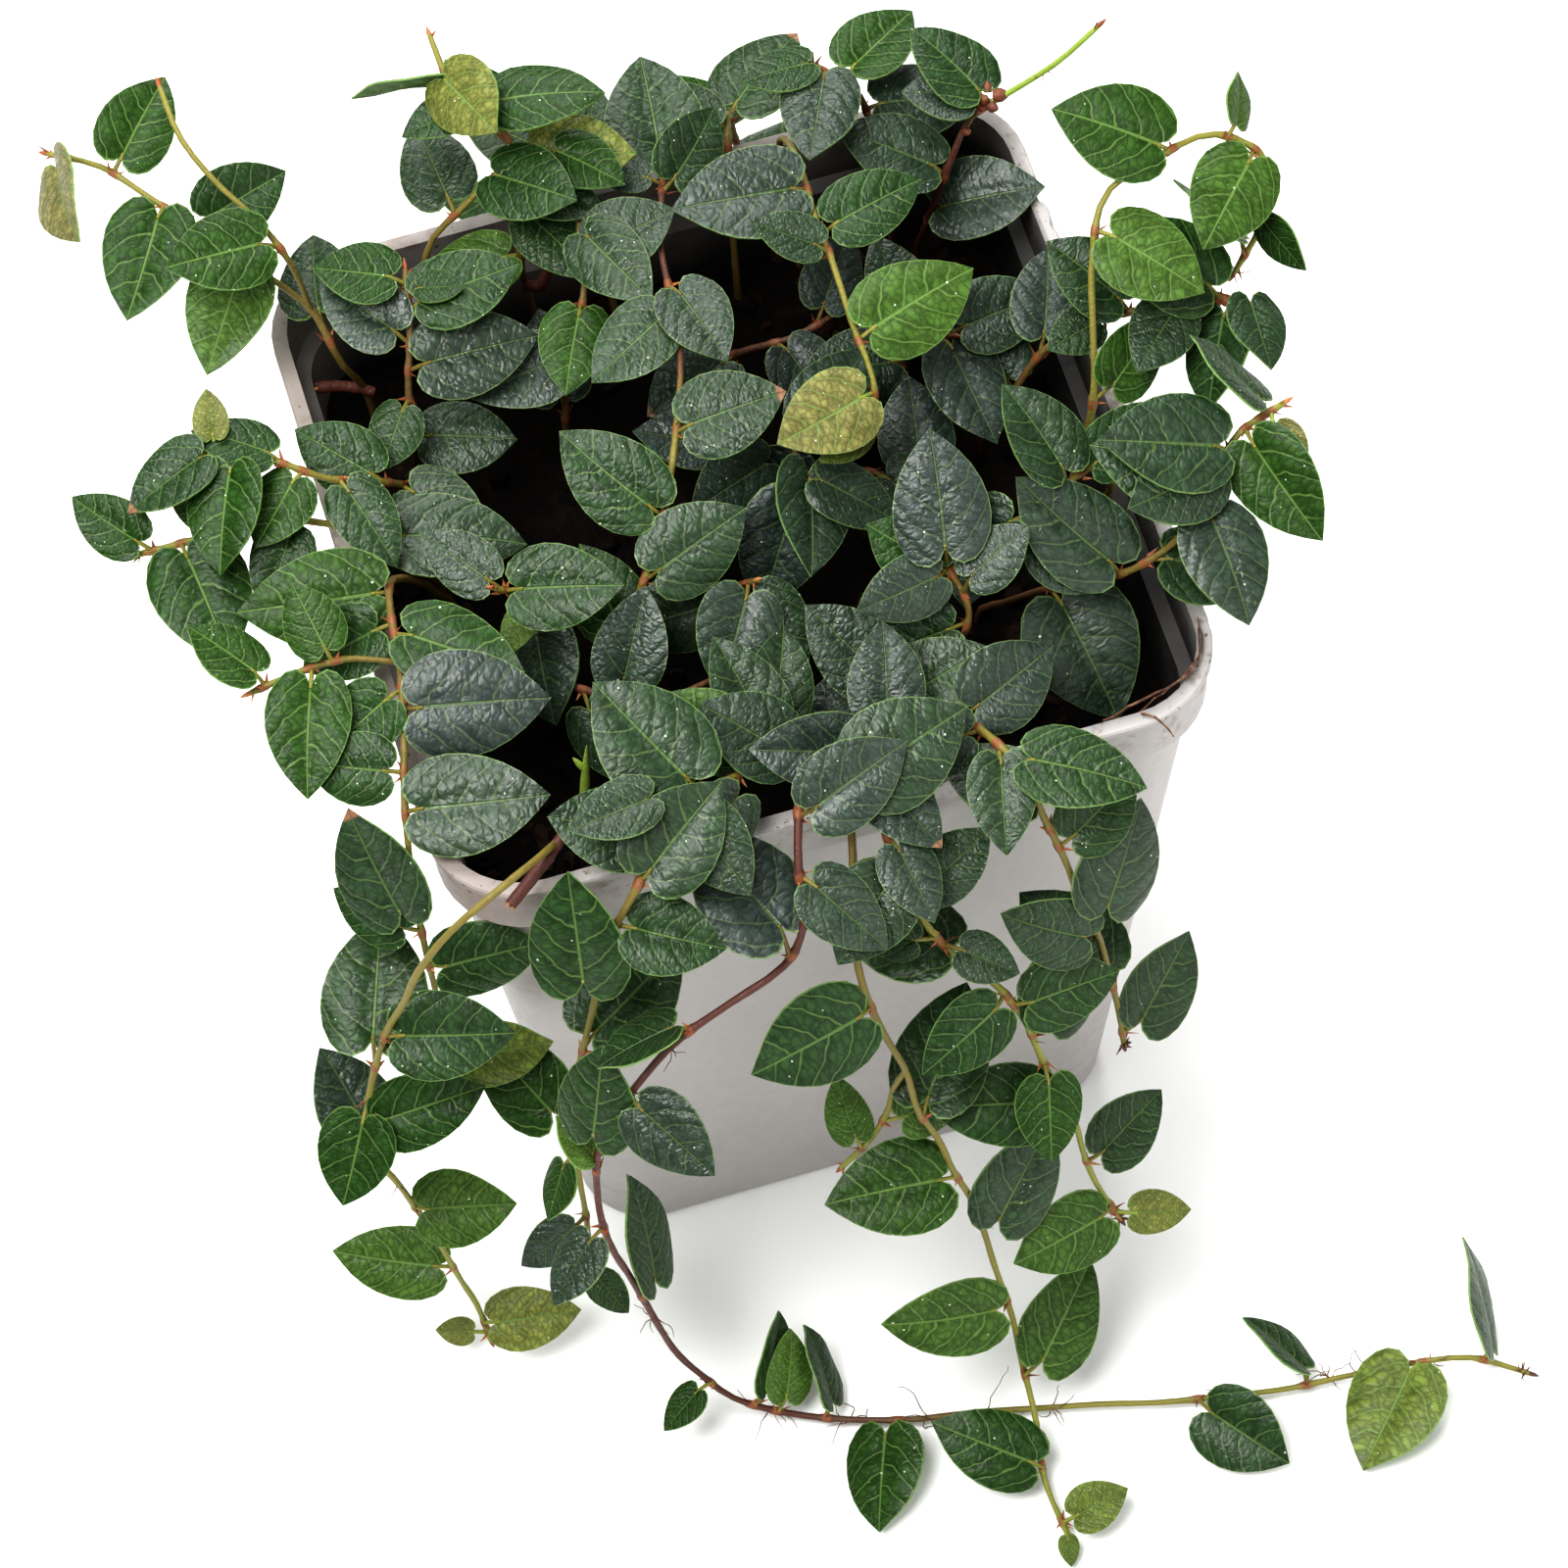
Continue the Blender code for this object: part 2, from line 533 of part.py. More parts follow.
# Closed blade with its three-sided petiole, grown on every side by the spare distance
def leafMesh(place, spare, petiole):
    length = place["length"]
    half = petioleWide / 2 / length
    right = [(x, -y * place["width"]) for x, y in reversed(halfOutline)]
    around = [(x, y * place["width"]) for x, y in halfOutline] + [(1.0, 0.0)] + right
    upper = [(0.0, half)] + around + [(0.0, -half), (ribPoint, 0.0)]
    lower = [(0.0, 0.0)] + around + [(ribPoint, 0.0)]
    points = []
    for loop, level in ((upper, spare), (lower, -bladeThick - spare)):
        for along, across in loop:
            away = Vector((along - ribPoint, across))
            if away.length > 0:
                away = away * (1 + spare / length / away.length)
            rise = bladeRise(along, across, place) * length + level
            points.append(place["notch"] + place["tip"] * (away.x + ribPoint) * length
                          + place["side"] * away.y * length + place["facing"] * rise)
    count = len(around) + 1
    rib = count + 1
    under = len(upper)
    faces = []
    for i in range(count + 1):
        faces.append((rib, (i + 1) % (count + 1), i))
    for i in range(count):
        j = (i + 1) % count
        faces.append((under + count, under + i, under + j))
        faces.append((i, i + 1, under + j))
        faces.append((i, under + j, under + i))
    start = [0, count, under]
    if not petiole:
        faces.append((start[1], start[0], start[2]))
        return points, faces
    first = len(points)
    size = petioleRoot + spare
    for wide, high in ((1, 0.7), (-1, 0.7), (0, -1)):
        points.append(place["root"] + place["side"] * size * wide + place["facing"] * size * high)
    for i in range(3):
        j = (i + 1) % 3
        faces.append((start[j], start[i], first + i))
        faces.append((start[j], first + i, first + j))
    faces.append((first, first + 2, first + 1))
    return points, faces


# Search tree that finds where one mesh crosses another
def treeOf(points, faces):
    return BVHTree.FromPolygons(points, faces)


def insideRim(point):
    return abs(point.x) < rimHalf - 2 and abs(point.y) < rimHalf - 2 and point.z < potHeight


# Place every leaf so that it keeps clear of other stems, the pot, the soil and the leaves before it
def layoutPlant():
    chance = random.Random(11)
    guard = treeOf(*stackRings(potRings()))
    plants = {}
    stemTrees = []
    for name, stems in shoots.items():
        plants[name] = []
        for number, stem in enumerate(stems):
            points, places = cutStem(stem)
            thick = branchThick if number else stemThick
            if number:
                trunk = plants[name][0]["points"]
                points[0] = min(trunk, key=lambda point: (point - points[0]).length).copy()
            else:
                points.insert(0, Vector((points[0].x, points[0].y, rootDepth)))
            last = len(points) - 1
            radii = [thick + (stemThin - thick) * i / last for i in range(last + 1)]
            plants[name].append({"points": points, "radii": radii, "places": places, "leaves": []})
            stemTrees.append(((name, number), treeOf(*tubeMesh(points, radii, stemSides))))
    placed = []
    dropped = 0
    for name, stems in shoots.items():
        for number, stem in enumerate(stems):
            grown = plants[name][number]
            for root, leaf in zip(grown["places"], stem["leaves"]):
                shape = {
                    "turn": chance.uniform(-6, 6),
                    "pitch": chance.uniform(-2, 10),
                    "roll": chance.uniform(-9, 9),
                    "size": 1 + chance.uniform(-sizeSpread, sizeSpread),
                    "width": chance.uniform(0.88, 1.12),
                    "fold": chance.uniform(0.0, 0.30),
                    "arch": chance.uniform(0.04, 0.16),
                    "twist": chance.uniform(-0.12, 0.12),
                }
                best = None
                for attempt in range(tries):
                    loose = attempt / tries
                    change = {
                        "turn": chance.uniform(-60, 60) * loose * loose,
                        "pitch": chance.uniform(-45, 35) * loose,
                        "roll": chance.uniform(-45, 45) * loose,
                        "reach": chance.uniform(-0.6, 3.5) * loose,
                        "lift": chance.uniform(-1.0, 6.0) * loose,
                    }
                    trial = placeLeaf(root, leaf, shape, change)
                    points, faces = leafMesh(trial, clearGap, True)
                    if min(point.z for point in points) < floorGap:
                        continue
                    if any(insideRim(point) and point.z < soilTop + soilSpare for point in points):
                        continue
                    tree = treeOf(points, faces)
                    if tree.overlap(guard):
                        continue
                    blade = treeOf(*leafMesh(trial, 0.0, False))
                    if any((blade if other == (name, number) else tree).overlap(tube)
                           for other, tube in stemTrees):
                        continue
                    middle = trial["notch"] + trial["tip"] * trial["length"] * 0.45
                    near = [old for old in placed
                            if (old["middle"] - middle).length < (old["length"] + trial["length"]) * 0.7 + 4]
                    if any(tree.overlap(old["tree"]) for old in near if old["stem"] != (name, number)):
                        continue
                    if any(blade.overlap(old["blade"]) for old in near if old["stem"] == (name, number)):
                        continue
                    best = trial
                    plainPoints, plainFaces = leafMesh(trial, 0.0, True)
                    placed.append({"middle": middle, "length": trial["length"], "stem": (name, number),
                                   "tree": treeOf(plainPoints, plainFaces), "blade": blade})
                    break
                if best:
                    grown["leaves"].append(best)
                else:
                    dropped += 1
    print("leaves placed:", len(placed), "left out:", dropped)
    return plants


# Faces that lie back to back on the same three corners enclose nothing
def dropFlaps(work):
    groups = {}
    for face in work.faces:
        groups.setdefault(frozenset(face.verts), []).append(face)
    flaps = [face for faces in groups.values() if len(faces) > 1 for face in faces]
    bmesh.ops.delete(work, geom=flaps, context="FACES")


# Keep only the largest piece of a fused shoot and split its faces into triangles
def tidyShoot(part):
    work = bmesh.new()
    work.from_mesh(part.data)
    bmesh.ops.triangulate(work, faces=work.faces)
    bmesh.ops.remove_doubles(work, verts=work.verts, dist=mergeGap)
    bmesh.ops.dissolve_degenerate(work, dist=mergeGap, edges=work.edges)
    bmesh.ops.triangulate(work, faces=work.faces)
    dropFlaps(work)
    work.verts.ensure_lookup_table()
    seen = set()
    groups = []
    for start in work.verts:
        if start in seen:
            continue
        group = [start]
        seen.add(start)
        for vert in group:
            for edge in vert.link_edges:
                other = edge.other_vert(vert)
                if other not in seen:
                    seen.add(other)
                    group.append(other)
        groups.append(group)
    groups.sort(key=len)
    for group in groups[:-1]:
        bmesh.ops.delete(work, geom=group, context="VERTS")
    bmesh.ops.recalc_face_normals(work, faces=work.faces)
    bad = sum(1 for edge in work.edges if not edge.is_manifold)
    print(part.name, "faces", len(work.faces), "loose", len(groups) - 1, "open edges", bad)
    work.to_mesh(part.data)
    work.free()


def soilInside(height):
    return bodyHalf(height) - potWall - soilGap


def makeSoil(material, roots):
    chance = random.Random(5)
    low = potFloor + soilGap
    cornerLow = baseCorner - potWall - soilGap
    cornerTop = rimCorner - flangeProud - collarProud - potWall - soilGap
    rings = [squareRing(soilInside(low), cornerLow, low),
             squareRing(soilInside(soilTop - 2), cornerTop, soilTop - 2)]
    for step in range(1, soilRings):
        share = 1 - step / soilRings
        ring = squareRing(soilInside(soilTop - 2) * share, cornerTop * share, soilTop)
        for point in ring:
            wave = math.sin(point.x * 0.11 + 1.0) * math.cos(point.y * 0.13 + 0.4)
            point.z += soilLump * (0.6 * wave + 0.4 * chance.uniform(-1, 1))
        rings.append(ring)
    points, faces = stackRings(rings)
    soil = makeObject("soil", points, faces, material)
    posts = [makePost(f"hole_{i}", x, y, holeDepth, soilTop + 10,
                      (stemThick + clearGap) / math.cos(math.pi / holeSides), holeSides)
             for i, (x, y) in enumerate(roots)]
    applyBoolean(soil, "DIFFERENCE", gather("soil_holes", posts), "EXACT")
    return soil


def makePot(material):
    points, faces = stackRings(potRings())
    pot = makeObject("pot", points, faces, material)
    posts = [makePost(f"drain_{i}", x * drainOffset, y * drainOffset, -5, potFloor + 5,
                      drainRadius, drainSides)
             for i, (x, y) in enumerate(((1, 1), (-1, 1), (-1, -1), (1, -1)))]
    applyBoolean(pot, "DIFFERENCE", gather("drain_holes", posts), "EXACT")
    return pot


def makeShoot(name, grown, material):
    parts = []
    for number, stem in enumerate(grown):
        points, faces = tubeMesh(stem["points"], stem["radii"], stemSides)
        parts.append(makeObject(f"{name}_stem_{number}", points, faces))
        for i, place in enumerate(stem["leaves"]):
            points, faces = leafMesh(place, 0.0, True)
            parts.append(makeObject(f"{name}_leaf_{number}_{i}", points, faces))
    shoot = parts[0]
    shoot.name = name
    shoot.data.name = name
    shoot.data.materials.append(material)
    if len(parts) > 1:
        applyBoolean(shoot, "UNION", gather(f"{name}_parts", parts[1:]), "MANIFOLD")
    tidyShoot(shoot)
    return shoot


def main():
    plants = layoutPlant()
    potMaterial = makeMaterial("pot_plastic", (0.34, 0.31, 0.29), 0.55)
    soilMaterial = makeMaterial("potting_soil", (0.018, 0.013, 0.010), 0.95)
    makePot(potMaterial)
    roots = [(grown[0]["points"][0].x, grown[0]["points"][0].y) for grown in plants.values()]
    makeSoil(soilMaterial, roots)
    for name, grown in plants.items():
        age = "young" if name in youngShoots else "grown" if name in grownShoots else "old"
        makeShoot(name, grown, makeMaterial(f"{name}_green", greens[age], 0.45))
    total = sum(len(part.data.polygons) for part in bpy.data.objects)
    print("objects", len(bpy.data.objects), "faces in all", total)


main()
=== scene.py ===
# Creeping fig in a square plastic pot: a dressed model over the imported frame.
# Sizes are millimetres here and are turned into metres when a mesh is made.
import bpy
import bmesh
import math
import random
import numpy as np
from mathutils import Matrix, Vector, noise
from mathutils.bvhtree import BVHTree


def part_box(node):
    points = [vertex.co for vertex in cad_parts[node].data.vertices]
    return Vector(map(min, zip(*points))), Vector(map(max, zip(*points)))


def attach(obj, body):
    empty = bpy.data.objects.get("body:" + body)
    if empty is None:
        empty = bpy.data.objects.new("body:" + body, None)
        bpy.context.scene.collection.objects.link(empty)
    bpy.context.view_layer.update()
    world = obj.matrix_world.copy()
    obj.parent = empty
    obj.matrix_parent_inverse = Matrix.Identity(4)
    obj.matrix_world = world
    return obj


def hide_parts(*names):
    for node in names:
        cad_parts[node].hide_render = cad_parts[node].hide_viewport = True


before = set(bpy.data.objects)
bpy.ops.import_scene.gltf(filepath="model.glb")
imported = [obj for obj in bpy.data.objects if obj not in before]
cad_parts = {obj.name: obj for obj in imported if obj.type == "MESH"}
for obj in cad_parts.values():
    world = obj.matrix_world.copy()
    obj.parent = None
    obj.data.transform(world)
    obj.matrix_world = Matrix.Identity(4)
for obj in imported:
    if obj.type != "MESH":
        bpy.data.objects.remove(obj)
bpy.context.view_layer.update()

metre = 0.001
fullTurn = 6.3  # In radians, a little over one turn

potSize = {
    "height": 150.0, "rimHalf": 65.0, "rimCorner": 16.0, "baseHalf": 48.0, "baseCorner": 12.5,
    "baseEdge": 1.2, "collarHeight": 12.0, "collarProud": 2.6, "flangeThick": 1.6, "flangeProud": 0.7,
    "wall": 1.9, "floor": 2.4, "cornerSteps": 4, "soften": 0.3, "collarFlare": 0.6, "lipRise": 0.2,
    "ledgeDrop": 0.5, "ledgeRise": 1.0,
}
soilSize = {"top": 125.0, "spare": 3.0}
stemSize = {
    "rootDepth": 116.0, "thick": 1.05, "thin": 0.72, "branch": 0.75, "sides": 4, "step": 11.0,
    "cutClear": 2.4, "splineSteps": 12, "seed": 11,
}
leafSize = {
    "thick": 0.8, "stalkWide": 1.1, "stalkRoot": 0.38, "stalkLength": 3.6, "ribPoint": 0.33,
    "outline": [(-0.10, 0.165), (0.18, 0.375), (0.62, 0.262)], "clear": 0.4, "floorGap": 0.5,
    "rimGap": 2, "tries": 260, "stalkAhead": 0.8, "stalkUp": 0.6, "edgeDroop": 0.35,
    "middle": 0.45, "nearShare": 0.7, "nearSpare": 4,
}
leafLean = {
    "light": 0.38, "outward": 0.12, "hanging": 0.45, "upright": 0.92, "hangHigh": 155.0,
    "hangSpan": 45.0, "lieHigh": 30.0, "lieSpan": 25.0, "shadeLine": 85.0, "shadeSpan": 60.0,
    "shadeLeast": 0.15,
}
# How leaves differ from each other, and how far one may move to find free room
leafVary = {
    "turn": (-6, 6), "pitch": (-2, 10), "roll": (-9, 9), "size": (-0.06, 0.06), "width": (0.88, 1.12),
    "fold": (0.0, 0.30), "arch": (0.04, 0.16), "twist": (-0.12, 0.12),
}
leafMove = {
    "turn": (-60, 60), "pitch": (-45, 35), "roll": (-45, 45), "reach": (-0.6, 3.5), "lift": (-1.0, 6.0),
}

# Every stem as a list of route points, with its leaves: distance along it, heading, length, roll
shoots = {
    "north_west_runner": [
        dict(route=[(-51, 45, 130), (-53, 44, 146), (-55, 43, 150), (-57, 48, 158), (-62, 52, 163),
            (-66, 57, 166), (-72, 63, 169), (-78, 70, 171), (-83, 77, 172), (-90, 82, 171), (-92, 85, 170)],
             leaves=[(26, 80, 16), (44, 235, 19), (55, 15, 15, 25), (64, 235, 19), (73, 45, 17, 30),
            (82, 265, 17, 58)]),
        dict(route=[(-58, 49, 159), (-59, 51, 168), (-60, 53, 172), (-65, 60, 178), (-70, 66, 182),
            (-71, 69, 184), (-72, 80, 186)],
             leaves=[(14, 170, 16)]),
    ],
    "north_west_spray": [
        dict(route=[(-39, 51, 130), (-38, 53, 153), (-33, 58, 161), (-29, 57, 164), (-24, 59, 167),
            (-18, 59, 170), (-11, 58, 171)],
             leaves=[(38, 95, 15), (45, 340, 16), (53, 345, 15, 20), (56, 320, 13)]),
    ],
    "north_spike": [
        dict(route=[(-20, 52, 130), (-22, 51, 155), (-20, 52, 164), (-19, 57, 171), (-20, 61, 176),
            (-22, 64, 179), (-26, 69, 181), (-27, 73, 182), (-27, 79, 182)],
             leaves=[(25, 190, 16), (35, 290, 16), (40, 325, 13), (49, 120, 12), (53, 340, 17),
            (55, 185, 11), (61, 165, 15, 66), (63, 290, 14, 40)]),
    ],
    "middle_creeper": [
        dict(route=[(-24, -18, 130), (-21, -17, 150), (-15, -11, 157), (-9, 1, 162), (-4, 13, 166),
            (-2, 25, 168), (-1, 35, 168), (3, 49, 166), (5, 55, 163)],
             leaves=[(9, 100, 16), (24, 20, 17), (35, 125, 19), (49, 5, 17), (72, 210, 15), (75, 285, 15),
            (96, 45, 14, 30), (98, 155, 9), (104, 85, 18)]),
    ],
    "young_arch": [
        dict(route=[(26, 54, 130), (26, 57, 147), (25, 58, 152), (25, 54, 164), (25, 43, 171),
            (24, 34, 173), (24, 26, 174), (24, 19, 174), (24, 7, 171), (24, 2, 169), (25, -2, 166),
            (23, -4, 159)],
             leaves=[(56, 175, 20), (66, 15, 15), (71, 155, 11), (86, 15, 19), (95, 200, 16),
            (103, 200, 9)]),
    ],
    "north_tuft": [
        dict(route=[(42, 53, 130), (42, 56, 147), (41, 58, 155), (40, 58, 163), (36, 60, 168),
            (33, 63, 169)],
             leaves=[(30, 350, 16), (37, 30, 14), (42, 245, 17), (45, 180, 12)]),
    ],
    "north_east_shoot": [
        dict(route=[(45, 48, 130), (48, 43, 152), (52, 45, 160), (56, 47, 166), (59, 47, 169),
            (64, 46, 171), (68, 45, 174), (72, 45, 179), (75, 46, 182), (77, 45, 183)],
             leaves=[(14, 350, 17), (28, 150, 18), (39, 155, 11), (42, 125, 15)]),
    ],
    "east_arch": [
        dict(route=[(53, -9, 130), (57, -11, 154), (60, -6, 163), (62, 2, 172), (65, 9, 178), (69, 14, 182),
            (76, 15, 184), (80, 17, 184), (89, 19, 182), (95, 17, 178), (96, 13, 173), (94, 10, 169),
            (90, 9, 163), (88, 7, 160)],
             leaves=[(30, 40, 14), (58, 320, 17), (76, 150, 18), (86, 60, 9, 50), (95, 220, 18),
            (106, 295, 10, 60), (114, 125, 14, 50)]),
    ],
    "east_spray": [
        dict(route=[(44, 8, 130), (49, 5, 146), (55, 5, 156), (60, 4, 161), (68, 2, 164), (78, 1, 166),
            (87, -1, 165), (87, -3, 164)],
             leaves=[(19, 105, 15), (27, 65, 16), (39, 200, 10), (45, 130, 15), (54, 225, 14),
            (61, 145, 17), (64, 245, 16, 50), (67, 275, 14)]),
    ],
    "south_east_spray": [
        dict(route=[(34, -23, 128), (42, -32, 144), (49, -36, 150), (53, -39, 154), (57, -41, 158),
            (63, -41, 163), (67, -40, 167), (72, -36, 171), (76, -31, 173), (80, -30, 174), (84, -29, 174)],
             leaves=[(22, 280, 20), (39, 125, 20), (43, 340, 16), (50, 300, 14), (57, 275, 17),
            (61, 150, 19), (64, 190, 16), (69, 165, 19), (71, 295, 19, 35), (75, 125, 15, 40),
            (79, 280, 9, 20)]),
    ],
    "east_creeper": [
        dict(route=[(53, -17, 130), (57, -23, 154), (55, -24, 163), (49, -27, 166), (43, -30, 163),
            (38, -31, 159)],
             leaves=[(38, 25, 15), (43, 115, 17), (49, 215, 15), (56, 310, 12)]),
    ],
    "west_spray": [
        dict(route=[(-46, 25, 128), (-51, 17, 149), (-56, 14, 157), (-62, 13, 162), (-67, 13, 165),
            (-70, 15, 167), (-76, 18, 169), (-82, 20, 169)],
             leaves=[(22, 310, 17), (31, 130, 14), (41, 285, 14), (47, 225, 13), (51, 145, 13, 25),
            (58, 250, 16), (61, 200, 14), (64, 80, 8)]),
    ],
    "west_low_spray": [
        dict(route=[(-49, 9, 129), (-56, 5, 150), (-63, 7, 157), (-71, 9, 160), (-77, 10, 161),
            (-83, 10, 161), (-90, 10, 160), (-96, 11, 159)],
             leaves=[(24, 330, 21), (41, 230, 14), (48, 135, 11), (59, 280, 19), (67, 125, 13)]),
    ],
    "west_trailer": [
        dict(route=[(-48, 4, 130), (-54, -2, 150), (-60, -8, 160), (-60, -17, 162), (-61, -22, 162),
            (-62, -28, 161), (-64, -36, 159), (-66, -42, 156), (-68, -50, 149), (-69, -55, 136),
            (-69, -59, 117), (-69, -61, 99)],
             leaves=[(35, 175, 21), (44, 190, 14), (46, 325, 20), (56, 200, 14), (61, 345, 21),
            (70, 155, 13), (76, 350, 21), (96, 85, 19), (99, 135, 13), (107, 350, 17), (134, 350, 17)]),
        dict(route=[(-61, -22, 162), (-69, -22, 164), (-77, -22, 164), (-82, -21, 163), (-85, -22, 162)],
             leaves=[(9, 105, 12), (16, 250, 18), (23, 135, 13, 20)]),
    ],
    "south_west_trailer": [
        dict(route=[(-35, -37, 128), (-43, -55, 150), (-51, -65, 160), (-61, -70, 160), (-70, -71, 152),
            (-74, -71, 142), (-79, -68, 126), (-83, -67, 109), (-85, -67, 98), (-85, -68, 88),
            (-82, -67, 74), (-78, -65, 50), (-75, -62, 26), (-72, -62, 8), (-72, -64, 4)],
             leaves=[(98, 335, 17), (108, 65, 21), (120, 230, 15), (127, 345, 18), (135, 100, 17, 62),
            (160, 340, 16), (192, 150, 18), (217, 355, 14), (222, 165, 6)]),
    ],
    "south_west_hanger": [
        dict(route=[(-19, -38, 128), (-28, -61, 152), (-35, -71, 159), (-37, -73, 156), (-40, -73, 150),
            (-44, -73, 136), (-46, -73, 125), (-48, -73, 116), (-51, -73, 101), (-52, -73, 90),
            (-53, -74, 72), (-53, -74, 55), (-54, -74, 40)],
             leaves=[(38, 150, 16), (51, 35, 18), (62, 330, 15), (78, 80, 21), (99, 25, 19), (120, 115, 19),
            (129, 230, 10, 50), (153, 185, 11), (172, 295, 8)]),
    ],
    "long_runner": [
        dict(route=[(-4, -38, 130), (-7, -60, 156), (-9, -71, 161), (-11, -76, 157), (-12, -81, 147),
            (-14, -82, 140), (-22, -84, 136), (-32, -85, 132), (-40, -86, 124), (-46, -86, 114),
            (-51, -86, 100), (-52, -87, 77), (-49, -87, 58), (-46, -88, 42), (-44, -88, 30), (-39, -88, 15),
            (-32, -91, 5), (-22, -95, 3), (-10, -100, 3), (1, -102, 3), (13, -105, 3), (22, -107, 3),
            (36, -111, 3), (46, -113, 3), (56, -115, 3), (68, -116, 3), (82, -118, 4), (92, -121, 5),
            (96, -123, 4), (98, -125, 3)],
             leaves=[(28, 150, 15), (46, 15, 17), (54, 310, 15), (74, 110, 22), (94, 185, 13, 60),
            (112, 305, 15), (126, 45, 17), (135, 115, 9, 50), (151, 215, 12, 30), (183, 80, 18, 60),
            (219, 210, 9, 40), (230, 55, 14, 60), (237, 60, 12, 20), (243, 90, 13, 60), (257, 250, 18, 45),
            (308, 310, 17, 35), (327, 120, 13, 60), (347, 220, 20, 20), (357, 80, 19, 64)]),
    ],
    "south_fork": [
        dict(route=[(8, -42, 130), (6, -64, 153), (4, -72, 156), (4, -78, 151), (6, -81, 144),
            (8, -82, 134), (13, -86, 127), (18, -88, 120), (20, -89, 115), (21, -91, 110), (24, -92, 94),
            (27, -94, 82), (28, -95, 72), (31, -97, 56), (33, -99, 52)],
             leaves=[(28, 40, 14), (43, 285, 13), (49, 220, 16), (57, 25, 14), (68, 155, 10), (70, 335, 10),
            (77, 130, 19), (86, 210, 16), (89, 5, 15), (98, 55, 18), (106, 250, 14), (116, 170, 20),
            (139, 25, 14), (153, 195, 17), (159, 355, 10)]),
    ],
    "south_east_trailer": [
        dict(route=[(22, -36, 130), (22, -58, 154), (24, -67, 162), (26, -71, 163), (27, -74, 158),
            (29, -77, 150), (31, -79, 142), (33, -82, 130), (35, -83, 122), (36, -85, 113), (37, -86, 105),
            (38, -87, 89)],
             leaves=[(28, 20, 15), (39, 185, 15), (46, 250, 14), (51, 330, 18), (66, 145, 19), (71, 25, 14),
            (88, 60, 19), (94, 160, 14), (109, 145, 19), (123, 40, 17)]),
    ],
    "south_trailer": [
        dict(route=[(1, -38, 130), (0, -58, 151), (-1, -71, 154), (-4, -81, 145), (-5, -85, 136),
            (-4, -87, 126), (-3, -88, 120), (0, -90, 109), (1, -92, 98), (3, -93, 93), (6, -94, 76),
            (9, -95, 64), (10, -96, 56), (11, -97, 46), (13, -98, 30), (14, -99, 19), (14, -102, 12),
            (14, -107, 9), (13, -115, 5), (12, -122, 3), (13, -130, 3)],
             leaves=[(76, 185, 19), (109, 55, 21), (129, 175, 20), (149, 55, 19), (173, 180, 19),
            (194, 40, 19), (212, 150, 19), (227, 15, 10), (229, 265, 5)]),
        dict(route=[(-1, -90, 110), (-3, -88, 91), (-7, -87, 80), (-11, -86, 73)],
             leaves=[(20, 5, 12), (31, 95, 11)]),
    ],
    "south_rim_creeper": [
        dict(route=[(-5, -30, 129), (-8, -49, 148), (-14, -57, 156), (-19, -60, 160), (-25, -61, 161),
            (-30, -62, 161)],
             leaves=[(20, 60, 16), (29, 105, 16), (36, 135, 15), (42, 215, 15), (50, 118, 20),
            (54, 290, 16), (58, 185, 13)]),
    ],
    "south_centre_tuft": [
        dict(route=[(17, -29, 130), (13, -46, 146), (8, -59, 156), (2, -67, 162), (-2, -70, 163)],
             leaves=[(12, 200, 14), (18, 130, 16), (27, 5, 16), (36, 75, 15), (43, 165, 17), (50, 300, 15),
            (58, 15, 20)]),
    ],
    "west_inner": [
        dict(route=[(-33, -5, 130), (-36, -10, 147), (-39, -12, 154), (-43, -12, 157)],
             leaves=[(6, 275, 16), (20, 220, 8), (28, 345, 16), (31, 135, 14)]),
    ],
    "west_upright": [
        dict(route=[(-47, 32, 130), (-47, 26, 150), (-46, 30, 160), (-44, 34, 166), (-42, 37, 169),
            (-42, 42, 172)],
             leaves=[(20, 340, 15), (29, 230, 10), (33, 0, 18), (39, 130, 15), (43, 0, 17), (46, 345, 8),
            (49, 155, 12)]),
    ],
    "centre_west": [
        dict(route=[(-22, 27, 130), (-22, 24, 148), (-18, 29, 158), (-14, 36, 164), (-12, 46, 168)],
             leaves=[(16, 85, 15), (28, 185, 15), (37, 245, 14), (42, 5, 14), (51, 290, 16)]),
    ],
    "centre_low": [
        dict(route=[(17, 15, 130), (14, 7, 146), (9, -3, 154), (9, -8, 155)],
             leaves=[(22, 40, 16), (29, 260, 18), (35, 315, 15), (37, 235, 20)]),
    ],
    "centre_east": [
        dict(route=[(35, 24, 130), (36, 19, 148), (40, 17, 154), (42, 12, 156)],
             leaves=[(8, 180, 16), (21, 95, 15), (28, 285, 18), (32, 5, 15)]),
    ],
    "east_inner": [
        dict(route=[(27, -34, 130), (26, -41, 150), (28, -40, 155), (28, -36, 160), (26, -32, 162)],
             leaves=[(25, 185, 14), (29, 40, 12), (35, 135, 13), (38, 190, 15), (39, 80, 20)]),
    ],
    "centre_south": [
        dict(route=[(-6, -11, 130), (-5, -17, 146), (-2, -20, 151)],
             leaves=[(8, 185, 16), (19, 285, 16), (24, 230, 15)]),
    ],
    "north_trailer_west": [
        dict(route=[(-7, 50, 130), (-8, 54, 145), (-9, 61, 155), (-10, 67, 157), (-11, 71, 151),
            (-12, 71, 138), (-12, 70, 122), (-10, 69, 106), (-9, 68, 92)],
             leaves=[(26, 60, 16), (36, 130, 17), (48, 40, 18), (60, 150, 17), (74, 55, 16),
            (88, 120, 14)]),
    ],
    "north_trailer_east": [
        dict(route=[(14, 50, 130), (15, 54, 145), (17, 61, 155), (19, 68, 156), (20, 71, 148),
            (21, 71, 134), (21, 70, 119), (22, 69, 107)],
